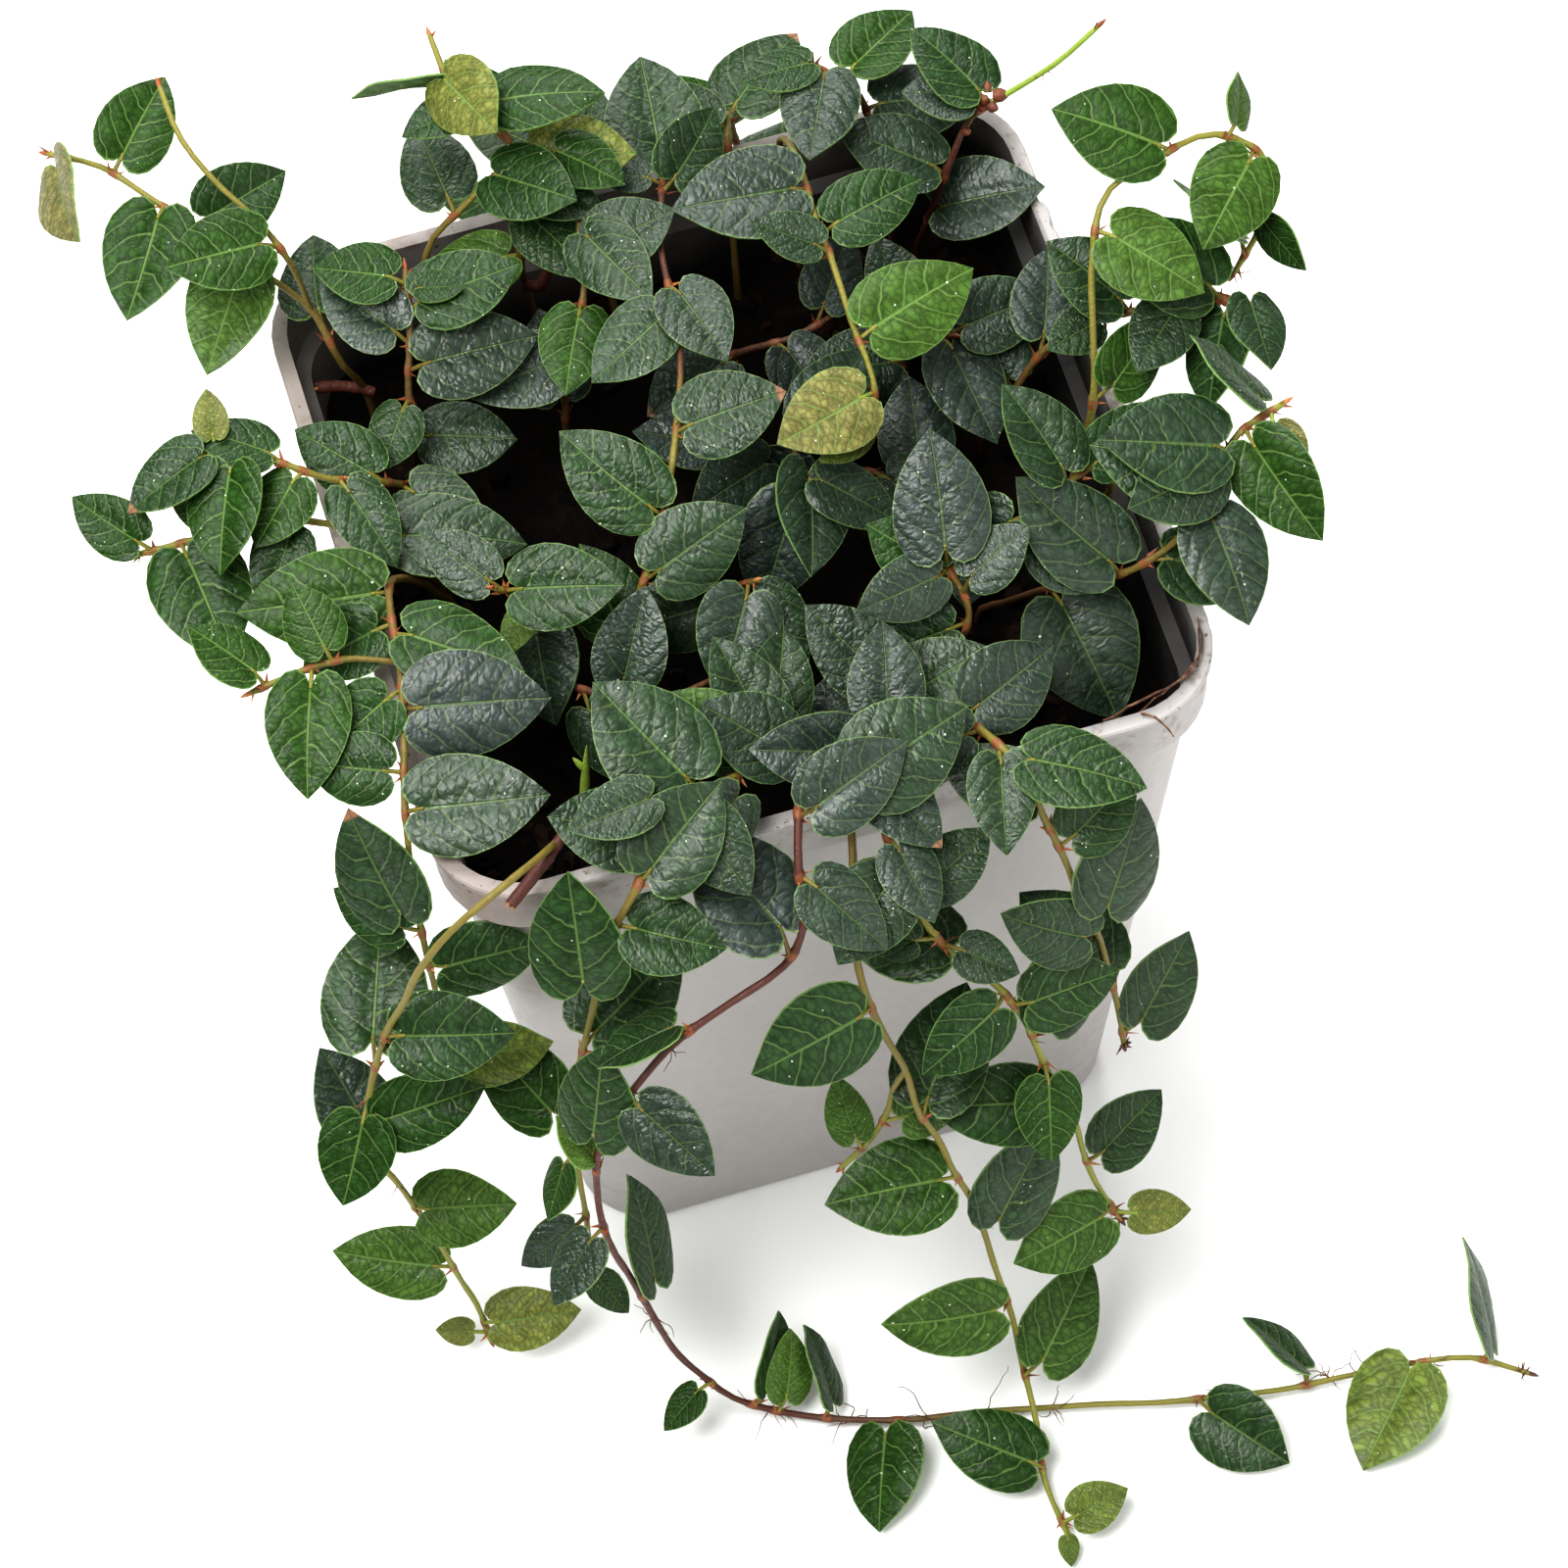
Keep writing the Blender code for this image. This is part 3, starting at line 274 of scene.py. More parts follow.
             leaves=[(28, 120, 16), (38, 35, 17), (50, 140, 18), (63, 30, 16), (75, 105, 13)]),
    ],
    "soil_creeper_east": [
        dict(route=[(42, -8, 130), (38, -6, 137), (30, -3, 140), (21, 2, 141), (11, 8, 140), (1, 13, 140)],
             leaves=[(10, 250, 16), (17, 80, 15), (25, 300, 16), (33, 130, 15), (42, 220, 16),
            (50, 160, 15)]),
    ],
    "soil_creeper_west": [
        dict(route=[(-40, -14, 130), (-36, -20, 137), (-29, -27, 140), (-20, -31, 141), (-12, -29, 140)],
             leaves=[(8, 180, 15), (15, 300, 16), (22, 60, 15), (30, 250, 16)]),
    ],
    "soil_creeper_north": [
        dict(route=[(6, 36, 130), (10, 33, 137), (18, 31, 140), (27, 33, 141), (35, 38, 141)],
             leaves=[(8, 200, 15), (15, 290, 16), (23, 60, 15)]),
    ],
}


def clamp(value, low=0.0, high=1.0):
    return min(max(value, low), high)


corners = ((1, 1), (-1, 1), (-1, -1), (1, -1))


# One turn round a square with rounded corners, counter-clockwise seen from above
def squareRing(half, corner, height):
    ring = []
    for quarter, (signX, signY) in enumerate(corners):
        for step in range(potSize["cornerSteps"] + 1):
            angle = math.pi / 2 * quarter + math.pi / 2 * step / potSize["cornerSteps"]
            ring.append(Vector((signX * (half - corner) + corner * math.cos(angle),
                                signY * (half - corner) + corner * math.sin(angle), height)))
    return ring


# Rings stacked into one closed shell, flat at both ends
def stackRings(rings):
    count = len(rings[0])
    last = (len(rings) - 1) * count
    faces = [tuple(reversed(range(count)))]
    for low in range(0, last, count):
        for i in range(count):
            j = (i + 1) % count
            faces.append((low + i, low + j, low + count + j, low + count + i))
    faces.append(tuple(range(last, last + count)))
    return [point for ring in rings for point in ring], faces


# Half width of the body of the pot at a height, below the collar
def bodyHalf(height):
    bodyTop = potSize["rimHalf"] - potSize["flangeProud"] - potSize["collarProud"]
    span = potSize["height"] - potSize["collarHeight"]
    return potSize["baseHalf"] + (bodyTop - potSize["baseHalf"]) * height / span


# Half width, corner radius and height of every ring of the pot, outside first
def potRows():
    size = potSize
    wall, soften, high = size["wall"], size["soften"], size["height"]
    rim, rimCorner = size["rimHalf"], size["rimCorner"]
    base, baseCorner, edge = size["baseHalf"], size["baseCorner"], size["baseEdge"]
    collar, collarCorner = rim - size["flangeProud"], rimCorner - size["flangeProud"]
    collarFoot, flangeFoot = high - size["collarHeight"], high - size["flangeThick"]
    bodyCorner = collarCorner - size["collarProud"]
    opening, openCorner = collar - wall, collarCorner - wall
    ledge = collarFoot - size["ledgeDrop"]
    return [
        (base - edge, baseCorner - edge, 0),
        (base, baseCorner, edge),
        (bodyHalf(collarFoot), bodyCorner, collarFoot),
        (collar - soften, collarCorner - soften, collarFoot + size["collarFlare"]),
        (collar, collarCorner, flangeFoot),
        (rim, rimCorner, flangeFoot + size["lipRise"]),
        (rim, rimCorner, high - soften),
        (rim - soften, rimCorner - soften, high),
        (opening, openCorner, high),
        (opening - soften, openCorner - soften, ledge + size["ledgeRise"]),
        (bodyHalf(ledge) - wall, bodyCorner - wall, ledge),
        (bodyHalf(size["floor"]) - wall, baseCorner - wall, size["floor"]),
    ]


# Smooth curve through the points of a route as many short straight steps, with the length up to each
def smoothLine(route):
    points = [Vector(point) for point in route]
    ends = [points[0] * 2 - points[1]] + points + [points[-1] * 2 - points[-2]]
    line = []
    for i in range(1, len(ends) - 2):
        before, start, stop, after = ends[i - 1:i + 3]
        for step in range(stemSize["splineSteps"]):
            t = step / stemSize["splineSteps"]
            line.append(0.5 * (start * 2 + (stop - before) * t
                               + (before * 2 - start * 5 + stop * 4 - after) * t ** 2
                               + (start * 3 - before - stop * 3 + after) * t ** 3))
    line.append(points[-1])
    return line, lineLengths(line)


def lineLengths(line):
    lengths = [0.0]
    for before, point in zip(line, line[1:]):
        lengths.append(lengths[-1] + (point - before).length)
    return lengths


def pointAt(line, lengths, distance):
    i = 1
    while i < len(lengths) - 1 and lengths[i] < distance:
        i += 1
    share = (distance - lengths[i - 1]) / (lengths[i] - lengths[i - 1])
    return line[i - 1].lerp(line[i], clamp(share))


# Cut a stem into even steps and find the places of its leaves, clear of the cuts
def cutStem(stem):
    line, lengths = smoothLine(stem["route"])
    spans = math.ceil(lengths[-1] / stemSize["step"])
    step = lengths[-1] / spans
    points = [pointAt(line, lengths, step * i) for i in range(spans + 1)]
    places = []
    for leaf in stem["leaves"]:
        span = min(int(leaf[0] / step), spans - 1)
        clear = stemSize["cutClear"] / step
        places.append(points[span].lerp(points[span + 1], clamp(leaf[0] / step - span, clear, 1 - clear)))
    return points, places


# Tube round a row of points, with its sides carried along without twist
def tubeMesh(points, radii, sides):
    rings = []
    side = (points[1] - points[0]).normalized().orthogonal().normalized()
    for i, point in enumerate(points):
        ahead = (points[min(i + 1, len(points) - 1)] - points[max(i - 1, 0)]).normalized()
        side = (side - ahead * side.dot(ahead)).normalized()
        other = ahead.cross(side)
        rings.append([point + (side * math.cos(2 * math.pi * k / sides)
                               + other * math.sin(2 * math.pi * k / sides)) * radii[i]
                      for k in range(sides)])
    return stackRings(rings)


# Which way the upper face of a leaf looks, from where it grows
def leafFacing(point):
    lean = leafLean
    outward = Vector((point.x, point.y, 0)).normalized()
    beside = max(abs(point.x), abs(point.y)) > potSize["rimHalf"]
    hanging = clamp((lean["hangHigh"] - point.z) / lean["hangSpan"]) if beside else 0.0
    lying = clamp((lean["lieHigh"] - point.z) / lean["lieSpan"])
    forward = lean["light"] * clamp((lean["shadeLine"] - point.y) / lean["shadeSpan"], lean["shadeLeast"])
    reach = lean["outward"] + lean["hanging"] * (hanging * (1 - lying))
    return (Vector((0, -forward, lean["upright"])) + outward * reach).normalized()


# Height of a blade above its flat plane, as a share of its length
def bladeRise(along, across, shape):
    return (shape["fold"] * abs(across) - shape["arch"] * along * abs(along)
            + shape["twist"] * along * across - leafSize["edgeDroop"] * across * across)


# Where a leaf stands; a leaf is its distance along the stem, heading, length and, at times, roll
def placeLeaf(root, leaf, shape, change):
    heading = math.radians(leaf[1] + shape["turn"] + change["turn"])
    pitch = math.radians(shape["pitch"] + change["pitch"])
    roll = math.radians((leaf[3] if len(leaf) > 3 else 0) + shape["roll"] + change["roll"])
    facing = leafFacing(root)
    tip = Vector((math.cos(heading), math.sin(heading), 0))
    tip.z = -(tip.x * facing.x + tip.y * facing.y) / facing.z
    tip.normalize()
    turned = Matrix.Rotation(-pitch, 3, facing.cross(tip))
    tip = turned @ tip
    facing = Matrix.Rotation(roll, 3, tip) @ (turned @ facing)
    reach = leafSize["stalkLength"] + change["reach"]
    notch = (root + (tip * leafSize["stalkAhead"] + facing * leafSize["stalkUp"]) * reach
             + facing * change["lift"])
    return {**shape, "root": root, "notch": notch, "tip": tip, "side": facing.cross(tip),
            "facing": facing, "length": leaf[2] * shape["size"]}


# Closed blade with its three-sided petiole, grown on every side by the spare distance
def leafMesh(place, spare, petiole):
    length, rib = place["length"], leafSize["ribPoint"]
    half = leafSize["stalkWide"] / 2 / length
    left = [(x, y * place["width"]) for x, y in leafSize["outline"]]
    right = [(x, -y * place["width"]) for x, y in reversed(leafSize["outline"])]
    around = left + [(1.0, 0.0)] + right
    upper = [(0.0, half)] + around + [(0.0, -half), (rib, 0.0)]
    lower = [(0.0, 0.0)] + around + [(rib, 0.0)]
    points = []
    for loop, level in ((upper, spare), (lower, -leafSize["thick"] - spare)):
        for along, across in loop:
            away = Vector((along - rib, across))
            if away.length > 0:
                away = away * (1 + spare / length / away.length)
            rise = bladeRise(along, across, place) * length + level
            points.append(place["notch"] + place["tip"] * (away.x + rib) * length
                          + place["side"] * away.y * length + place["facing"] * rise)
    count, under = len(around) + 1, len(upper)
    faces = [(count + 1, (i + 1) % (count + 1), i) for i in range(count + 1)]
    for i in range(count):
        j = (i + 1) % count
        faces += [(under + count, under + i, under + j), (i, i + 1, under + j), (i, under + j, under + i)]
    start = [0, count, under]
    if not petiole:
        return points, faces + [(start[1], start[0], start[2])]
    first = len(points)
    size = leafSize["stalkRoot"] + spare
    for wide, high in ((1, 0.7), (-1, 0.7), (0, -1)):
        points.append(place["root"] + place["side"] * size * wide + place["facing"] * size * high)
    for i in range(3):
        j = (i + 1) % 3
        faces += [(start[j], start[i], first + i), (start[j], first + i, first + j)]
    return points, faces + [(first, first + 2, first + 1)]


# Search tree that finds where one mesh crosses another
def treeOf(points, faces):
    return BVHTree.FromPolygons(points, faces)


# Does a point stand lower in the pot than a leaf may?
def tooLow(point):
    inner = potSize["rimHalf"] - leafSize["rimGap"]
    inside = abs(point.x) < inner and abs(point.y) < inner and point.z < potSize["height"]
    return point.z < leafSize["floorGap"] or inside and point.z < soilSize["top"] + soilSize["spare"]


# The leaf with its search trees where it keeps clear of the pot, other stems and the leaves before it
def fitLeaf(trial, own, guard, stemTrees, placed):
    points, faces = leafMesh(trial, leafSize["clear"], True)
    if any(tooLow(point) for point in points):
        return None
    tree = treeOf(points, faces)
    if tree.overlap(guard):
        return None
    blade = treeOf(*leafMesh(trial, 0.0, False))
    if any((blade if other == own else tree).overlap(tube) for other, tube in stemTrees):
        return None
    middle = trial["notch"] + trial["tip"] * trial["length"] * leafSize["middle"]
    for old in placed:
        reach = (old["length"] + trial["length"]) * leafSize["nearShare"] + leafSize["nearSpare"]
        if (old["middle"] - middle).length < reach:
            if blade.overlap(old["blade"]) if old["stem"] == own else tree.overlap(old["tree"]):
                return None
    return {"middle": middle, "length": trial["length"], "stem": own, "blade": blade,
            "tree": treeOf(*leafMesh(trial, 0.0, True))}


# Lay out every stem first and then its leaves, each where it finds free room
def layoutPlant():
    chance = random.Random(stemSize["seed"])
    guard = treeOf(*stackRings([squareRing(*row) for row in potRows()]))
    plants, stemTrees, placed, dropped = {}, [], [], 0
    for name, stems in shoots.items():
        plants[name] = []
        for number, stem in enumerate(stems):
            points, places = cutStem(stem)
            thick = stemSize["branch"] if number else stemSize["thick"]
            if number:
                trunk = plants[name][0]["points"]
                points[0] = min(trunk, key=lambda point: (point - points[0]).length).copy()
            else:
                points.insert(0, Vector((points[0].x, points[0].y, stemSize["rootDepth"])))
            last = len(points) - 1
            radii = [thick + (stemSize["thin"] - thick) * i / last for i in range(last + 1)]
            plants[name].append({"points": points, "radii": radii, "places": places, "leaves": []})
            stemTrees.append(((name, number), treeOf(*tubeMesh(points, radii, stemSize["sides"]))))
    for own, stem in [((name, number), stem) for name in shoots for number, stem in enumerate(shoots[name])]:
        grown = plants[own[0]][own[1]]
        for index, (root, leaf) in enumerate(zip(grown["places"], stem["leaves"])):
            shape = {key: chance.uniform(*span) for key, span in leafVary.items()}
            shape["size"] += 1
            for attempt in range(leafSize["tries"]):
                loose = attempt / leafSize["tries"]
                change = {key: chance.uniform(*span) * loose for key, span in leafMove.items()}
                change["turn"] *= loose
                trial = placeLeaf(root, leaf, shape, change)
                fitted = fitLeaf(trial, own, guard, stemTrees, placed)
                if fitted:
                    placed.append(fitted)
                    grown["leaves"].append({**trial, "number": index})
                    break
            else:
                dropped += 1
    print("leaves placed:", len(placed), "left out:", dropped)
    return plants


# Leave nothing selected but one piece, in object mode
def activate(piece):
    if bpy.context.object and bpy.context.object.mode != "OBJECT":
        bpy.ops.object.mode_set(mode="OBJECT")
    bpy.ops.object.select_all(action="DESELECT")
    if piece:
        piece.select_set(True)
        bpy.context.view_layer.objects.active = piece


# Add a primitive by itself
def addShape(adder, location=(0, 0, 0), **settings):
    activate(None)
    adder(location=location, **settings)
    return bpy.context.object


# Into edit mode with the place of the piece in its mesh, and out again
def startEdit(kind):
    bpy.ops.object.transform_apply(location=True)
    bpy.ops.object.mode_set(mode="EDIT")
    bpy.ops.mesh.select_mode(type=kind)


def endEdit():
    bpy.ops.object.mode_set(mode="OBJECT")


# Select the faces or edges that are wanted
def pick(piece, kind, wanted):
    bpy.ops.mesh.select_mode(type=kind)
    mesh = bmesh.from_edit_mesh(piece.data)
    parts = mesh.faces if kind == "FACE" else mesh.edges
    for part in parts:
        part.select_set(False)
    for part in parts:
        if wanted(part):
            part.select_set(True)
    mesh.select_flush_mode()
    bmesh.update_edit_mesh(piece.data)


# Draw the selected faces out, then resize them about a point
def drawOut(move, grow, centre):
    bpy.ops.mesh.extrude_region_move(TRANSFORM_OT_translate={"value": move})
    bpy.ops.transform.resize(value=grow, center_override=centre)


def applyModifier(piece, kind, **settings):
    activate(piece)
    modifier = piece.modifiers.new(kind.title(), kind)
    for key, value in settings.items():
        setattr(modifier, key, value)
    bpy.ops.object.modifier_apply(modifier=modifier.name)


# A finished piece sits at the origin and rides on the part
def finishPiece(piece, slot, *nodes, smooth=45):
    activate(piece)
    bpy.ops.object.transform_apply(location=True, rotation=True, scale=True)
    bpy.ops.object.shade_smooth_by_angle(angle=math.radians(smooth))
    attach(piece, "root")
    if nodes:
        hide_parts(*nodes)


# A basket gathers copies of small shapes into one mesh; every copy has its own points
def newBasket():
    return {"points": [], "faces": [], "slots": [], "plan": [], "grid": [], "tone": []}


def addCopy(basket, points, faces, slots, tone, plan=None, grid=None):
    start = len(basket["points"])
    basket["points"] += points
    basket["faces"] += [tuple(start + i for i in face) for face in faces]
    basket["slots"] += slots if isinstance(slots, list) else [slots] * len(faces)
    basket["tone"] += tone if isinstance(tone, list) else [tone] * len(points)
    for key, rows in (("plan", plan), ("grid", grid)):
        basket[key] += rows or [(0.0, 0.0)] * len(points)


def addTone(mesh, rows):
    tone = mesh.color_attributes.new(name="tone", type="FLOAT_COLOR", domain="POINT")
    tone.data.foreach_set("color", np.array([(*row, 1.0) for row in rows], dtype=np.float32).ravel())


def pieceFrom(name, basket, *looks):
    mesh = bpy.data.meshes.new(name)
    mesh.from_pydata([tuple(point * metre) for point in basket["points"]], [], basket["faces"])
    for look in looks:
        mesh.materials.append(look)
    mesh.polygons.foreach_set("material_index", basket["slots"])
    turns = np.empty(len(mesh.loops), dtype=np.int32)
    mesh.loops.foreach_get("vertex_index", turns)
    for key in ("plan", "grid"):
        layer = mesh.uv_layers.new(name=key)
        layer.data.foreach_set("uv", np.array(basket[key], dtype=np.float32)[turns].ravel())
    addTone(mesh, basket["tone"])
    mesh.validate()
    piece = bpy.data.objects.new(name, mesh)
    bpy.context.scene.collection.objects.link(piece)
    return piece


# Take a modelled template apart into points and faces
def takeTemplate(piece):
    points = [vertex.co.copy() for vertex in piece.data.vertices]
    faces = [tuple(face.vertices) for face in piece.data.polygons]
    bpy.data.objects.remove(piece)
    return points, faces


# A direction, or a small step, drawn at random; its rise may have a span of its own
def randomStep(chance, low=-1, high=1, rise=None):
    return Vector([chance.uniform(*span) for span in ((low, high), (low, high), rise or (low, high))])


# Small helpers for shader nodes
def addNode(tree, kind, inputs=None, group=None, **settings):
    made = tree.nodes.new("ShaderNode" + kind)
    if group:
        made.node_tree = group
    for key, value in settings.items():
        setattr(made, key, value)
    for key, value in (inputs or {}).items():
        if isinstance(value, bpy.types.NodeSocket):
            tree.links.new(value, made.inputs[key])
        else:
            made.inputs[key].default_value = value
    return made


def calc(tree, operation, *values):
    return addNode(tree, "Math", dict(enumerate(values)), operation=operation).outputs[0]


def times(tree, first, *others):
    for other in others:
        first = calc(tree, "MULTIPLY", first, other)
    return first


def plus(tree, first, *others):
    for other in others:
        first = calc(tree, "ADD", first, other)
    return first


def minus(tree, first, second):
    return calc(tree, "SUBTRACT", first, second)


# A value times a factor, and a sum on top
def scaled(tree, value, factor, extra):
    return calc(tree, "MULTIPLY_ADD", value, factor, extra)


def fade(tree, value, low, high, start=0.0, end=1.0):
    return addNode(tree, "MapRange", {"Value": value, "From Min": low, "From Max": high, "To Min": start,
                                      "To Max": end}, interpolation_type="SMOOTHSTEP").outputs["Result"]


def blend(tree, share, first, second):
    first, second = [(*colour, 1) if isinstance(colour, tuple) else colour for colour in (first, second)]
    return addNode(tree, "Mix", {0: share, 6: first, 7: second}, data_type="RGBA").outputs[2]


def brighten(tree, colour, value):
    return addNode(tree, "HueSaturation", {"Color": colour, "Value": value}).outputs["Color"]


def mottle(tree, where, scale, detail=3.0, rough=0.55, result="Fac"):
    return addNode(tree, "TexNoise", {"Vector": where, "Scale": scale, "Detail": detail,
                                      "Roughness": rough}).outputs[result]


def colourRamp(tree, value, stops):
    made = addNode(tree, "ValToRGB", {"Fac": value})
    while len(made.color_ramp.elements) < len(stops):
        made.color_ramp.elements.new(0.5)
    for element, (place, colour) in zip(made.color_ramp.elements, stops):
        element.position = place
        element.color = (*colour, 1)
    return made.outputs["Color"]


def splitVector(tree, vector):
    return addNode(tree, "SeparateXYZ", {0: vector}).outputs


# The three numbers that every point of a piece carries
def readTone(tree):
    colour = addNode(tree, "Attribute", attribute_name="tone").outputs["Color"]
    return addNode(tree, "SeparateColor", {0: colour}).outputs


# A new material, its node tree, its shader and the place on the piece
def newMaterial(name, **settings):
    material = bpy.data.materials.new(name)
    material.use_nodes = True
    tree = material.node_tree
    shader = tree.nodes["Principled BSDF"]
    for key, value in settings.items():
        shader.inputs[key.replace("_", " ")].default_value = value
    return material, tree, shader, addNode(tree, "TexCoord").outputs["Object"]


# Send colour, roughness and relief to the shader
def wire(tree, shader, colour, rough, relief, deep):
    bump = addNode(tree, "Bump", {"Height": relief, "Distance": deep}).outputs["Normal"]
    for key, value in (("Base Color", colour), ("Roughness", rough), ("Normal", bump)):
        if value is not None:
            tree.links.new(value, shader.inputs[key])


leafInk = {
    "ages": [(0.0, (0.030, 0.045, 0.036)), (0.22, (0.025, 0.050, 0.022)), (0.44, (0.020, 0.055, 0.009)),
             (0.66, (0.086, 0.150, 0.033)), (0.82, (0.145, 0.172, 0.040)), (1.0, (0.172, 0.160, 0.062))],
    "veinPale": (0.17, 0.27, 0.08), "paleEdgeAndHighlight": (0.19, 0.29, 0.09), "dots": (0.55, 0.62, 0.48),
    "dust": (0.20, 0.24, 0.19), "dryTip": (0.21, 0.115, 0.062), "under": (0.20, 0.33, 0.12),
    "relief": 0.00028, "veinCount": 4.3, "veinSlope": -0.34, "veinBow": 1.75, "veinWander": 0.12,
    "sideShift": 0.22, "ribTaper": -0.010, "ribWide": 0.017, "cellScale": 13.5, "cellBend": 0.09,
    "cellStretch": (1.15, 0.72, 1.0), "dotScale": 12.0, "dotLuck": 0.74, "dryLuck": 0.95,
    "pillow": 0.30, "swell": 0.34, "grain": 0.18, "ribDeep": 0.5, "creaseDeep": 0.04, "dotHigh": 0.5,
    # Where each line fades in or out
    "ribLine": (0.5, 1.3), "sideLine": (0.016, 0.062), "sideEnd": (0.72, 0.92), "sideShare": 0.80,
    "netLine": (0.0, 0.07), "creaseLine": (0.015, 0.10), "edgeLine": (0.968, 0.992),
    "notchLine": (0.020, 0.006), "dotSize": (0.06, 0.17),
    # How much of each the two sides of a leaf show, with the painted shade along the creases and the painted
    # light and shade that follow the height of the relief
    "upperNet": 0.0, "underNet": 0.75, "underShare": 0.62, "blotchShade": (0.84, 1.18), "creaseShade": 0.80,
    "reliefLightAndShade": (0.72, 1.28), "veinShare": (0.28, 0.56), "paleEdgeAndHighlightShare": 0.45, "dotShare": 0.8,
    "dryFrom": (0.95, 0.99), "shine": (0.44, 0.18), "upperRough": (0.33, 0.46), "underRough": (0.52, 0.68),
}


# Veins, puckers, pale margin with a painted rim highlight, and white dots of a leaf, drawn on its own plan
def buildLeafRelief():
    ink = leafInk
    tree = bpy.data.node_groups.new("leafRelief", "ShaderNodeTree")
    for key, kind in (("Plan", "Vector"), ("Grid", "Vector"), ("Seed", "Float"), ("Net", "Float")):
        tree.interface.new_socket(key, in_out="INPUT", socket_type="NodeSocket" + kind)
    marks = ("Veins", "Height", "Creases", "Margin", "Dots")
    for key in marks:
        tree.interface.new_socket(key, in_out="OUTPUT", socket_type="NodeSocketFloat")
    given, result = tree.nodes.new("NodeGroupInput").outputs, tree.nodes.new("NodeGroupOutput")
    x, y, _ = splitVector(tree, given["Plan"])
    where = addNode(tree, "CombineXYZ", {0: x, 1: y, 2: times(tree, given["Seed"], 9.0)}).outputs[0]
    # Midrib and side veins
    across = calc(tree, "ABSOLUTE", y)
    ribWide = scaled(tree, x, ink["ribTaper"], ink["ribWide"])
    rib = fade(tree, calc(tree, "DIVIDE", across, ribWide), *ink["ribLine"], 1.0, 0.0)
    wander = times(tree, minus(tree, mottle(tree, where, 6.0, 1.0), 0.5), ink["veinWander"])
    bow = times(tree, across, across, ink["veinBow"])
    curve = minus(tree, scaled(tree, across, ink["veinSlope"], x), bow)
    side = times(tree, calc(tree, "SIGN", y), ink["sideShift"])
    count = plus(tree, times(tree, plus(tree, curve, wander), ink["veinCount"]), side)
    near = calc(tree, "ABSOLUTE", minus(tree, calc(tree, "FRACT", count), 0.5))
    lateral = times(tree, fade(tree, near, *ink["sideLine"], 1.0, 0.0),
                    fade(tree, x, *ink["sideEnd"], 1.0, 0.0), ink["sideShare"])
    # Net of small veins, with a pillow in each mesh
    bend = addNode(tree, "VectorMath", {0: mottle(tree, where, 9.0, 2.0, 0.5, "Color"), 3: ink["cellBend"]},
                   operation="SCALE").outputs[0]
    bent = addNode(tree, "VectorMath", {0: where, 1: bend}).outputs[0]
    stretched = addNode(tree, "Mapping", {0: bent, 3: ink["cellStretch"]}).outputs[0]
    cells = addNode(tree, "TexVoronoi", {"Vector": stretched, "Scale": ink["cellScale"], "Randomness": 0.9},
                    feature="DISTANCE_TO_EDGE").outputs["Distance"]
    net = times(tree, fade(tree, cells, *ink["netLine"], 1.0, 0.0), given["Net"])
    veins = calc(tree, "MAXIMUM", calc(tree, "MAXIMUM", rib, lateral), net)
    creases = fade(tree, cells, *ink["creaseLine"], 1.0, 0.0)
    height = plus(tree, times(tree, fade(tree, cells, 0.0, 0.42), ink["pillow"]),
                  times(tree, fade(tree, near, 0.0, 0.42), ink["swell"]),
                  times(tree, mottle(tree, where, 14.0, 2.0), ink["grain"]))
    height = minus(tree, height, times(tree, rib, ink["ribDeep"]))
    height = minus(tree, height, times(tree, creases, ink["creaseDeep"]))
    # Pale margin, partly a painted rim highlight, and white dots of many sizes
    gridX, gridY, _ = splitVector(tree, given["Grid"])
    paleEdgeAndHighlight = calc(tree, "MAXIMUM", fade(tree, calc(tree, "ABSOLUTE", gridY), *ink["edgeLine"]),
                  fade(tree, gridX, *ink["notchLine"]))
    seeds = addNode(tree, "TexVoronoi", {"Vector": where, "Scale": ink["dotScale"]}).outputs
    luck = addNode(tree, "SeparateColor", {0: seeds["Color"]}).outputs
    reach = calc(tree, "DIVIDE", seeds["Distance"], fade(tree, luck[1], 0.0, 1.0, *ink["dotSize"]))
    dots = times(tree, fade(tree, reach, 0.5, 1.0, 1.0, 0.0),
                 calc(tree, "GREATER_THAN", luck[0], ink["dotLuck"]))
    height = plus(tree, height, times(tree, dots, ink["dotHigh"]))
    for key, value in zip(marks, (veins, height, creases, paleEdgeAndHighlight, dots)):
        tree.links.new(value, result.inputs[key])
    return tree


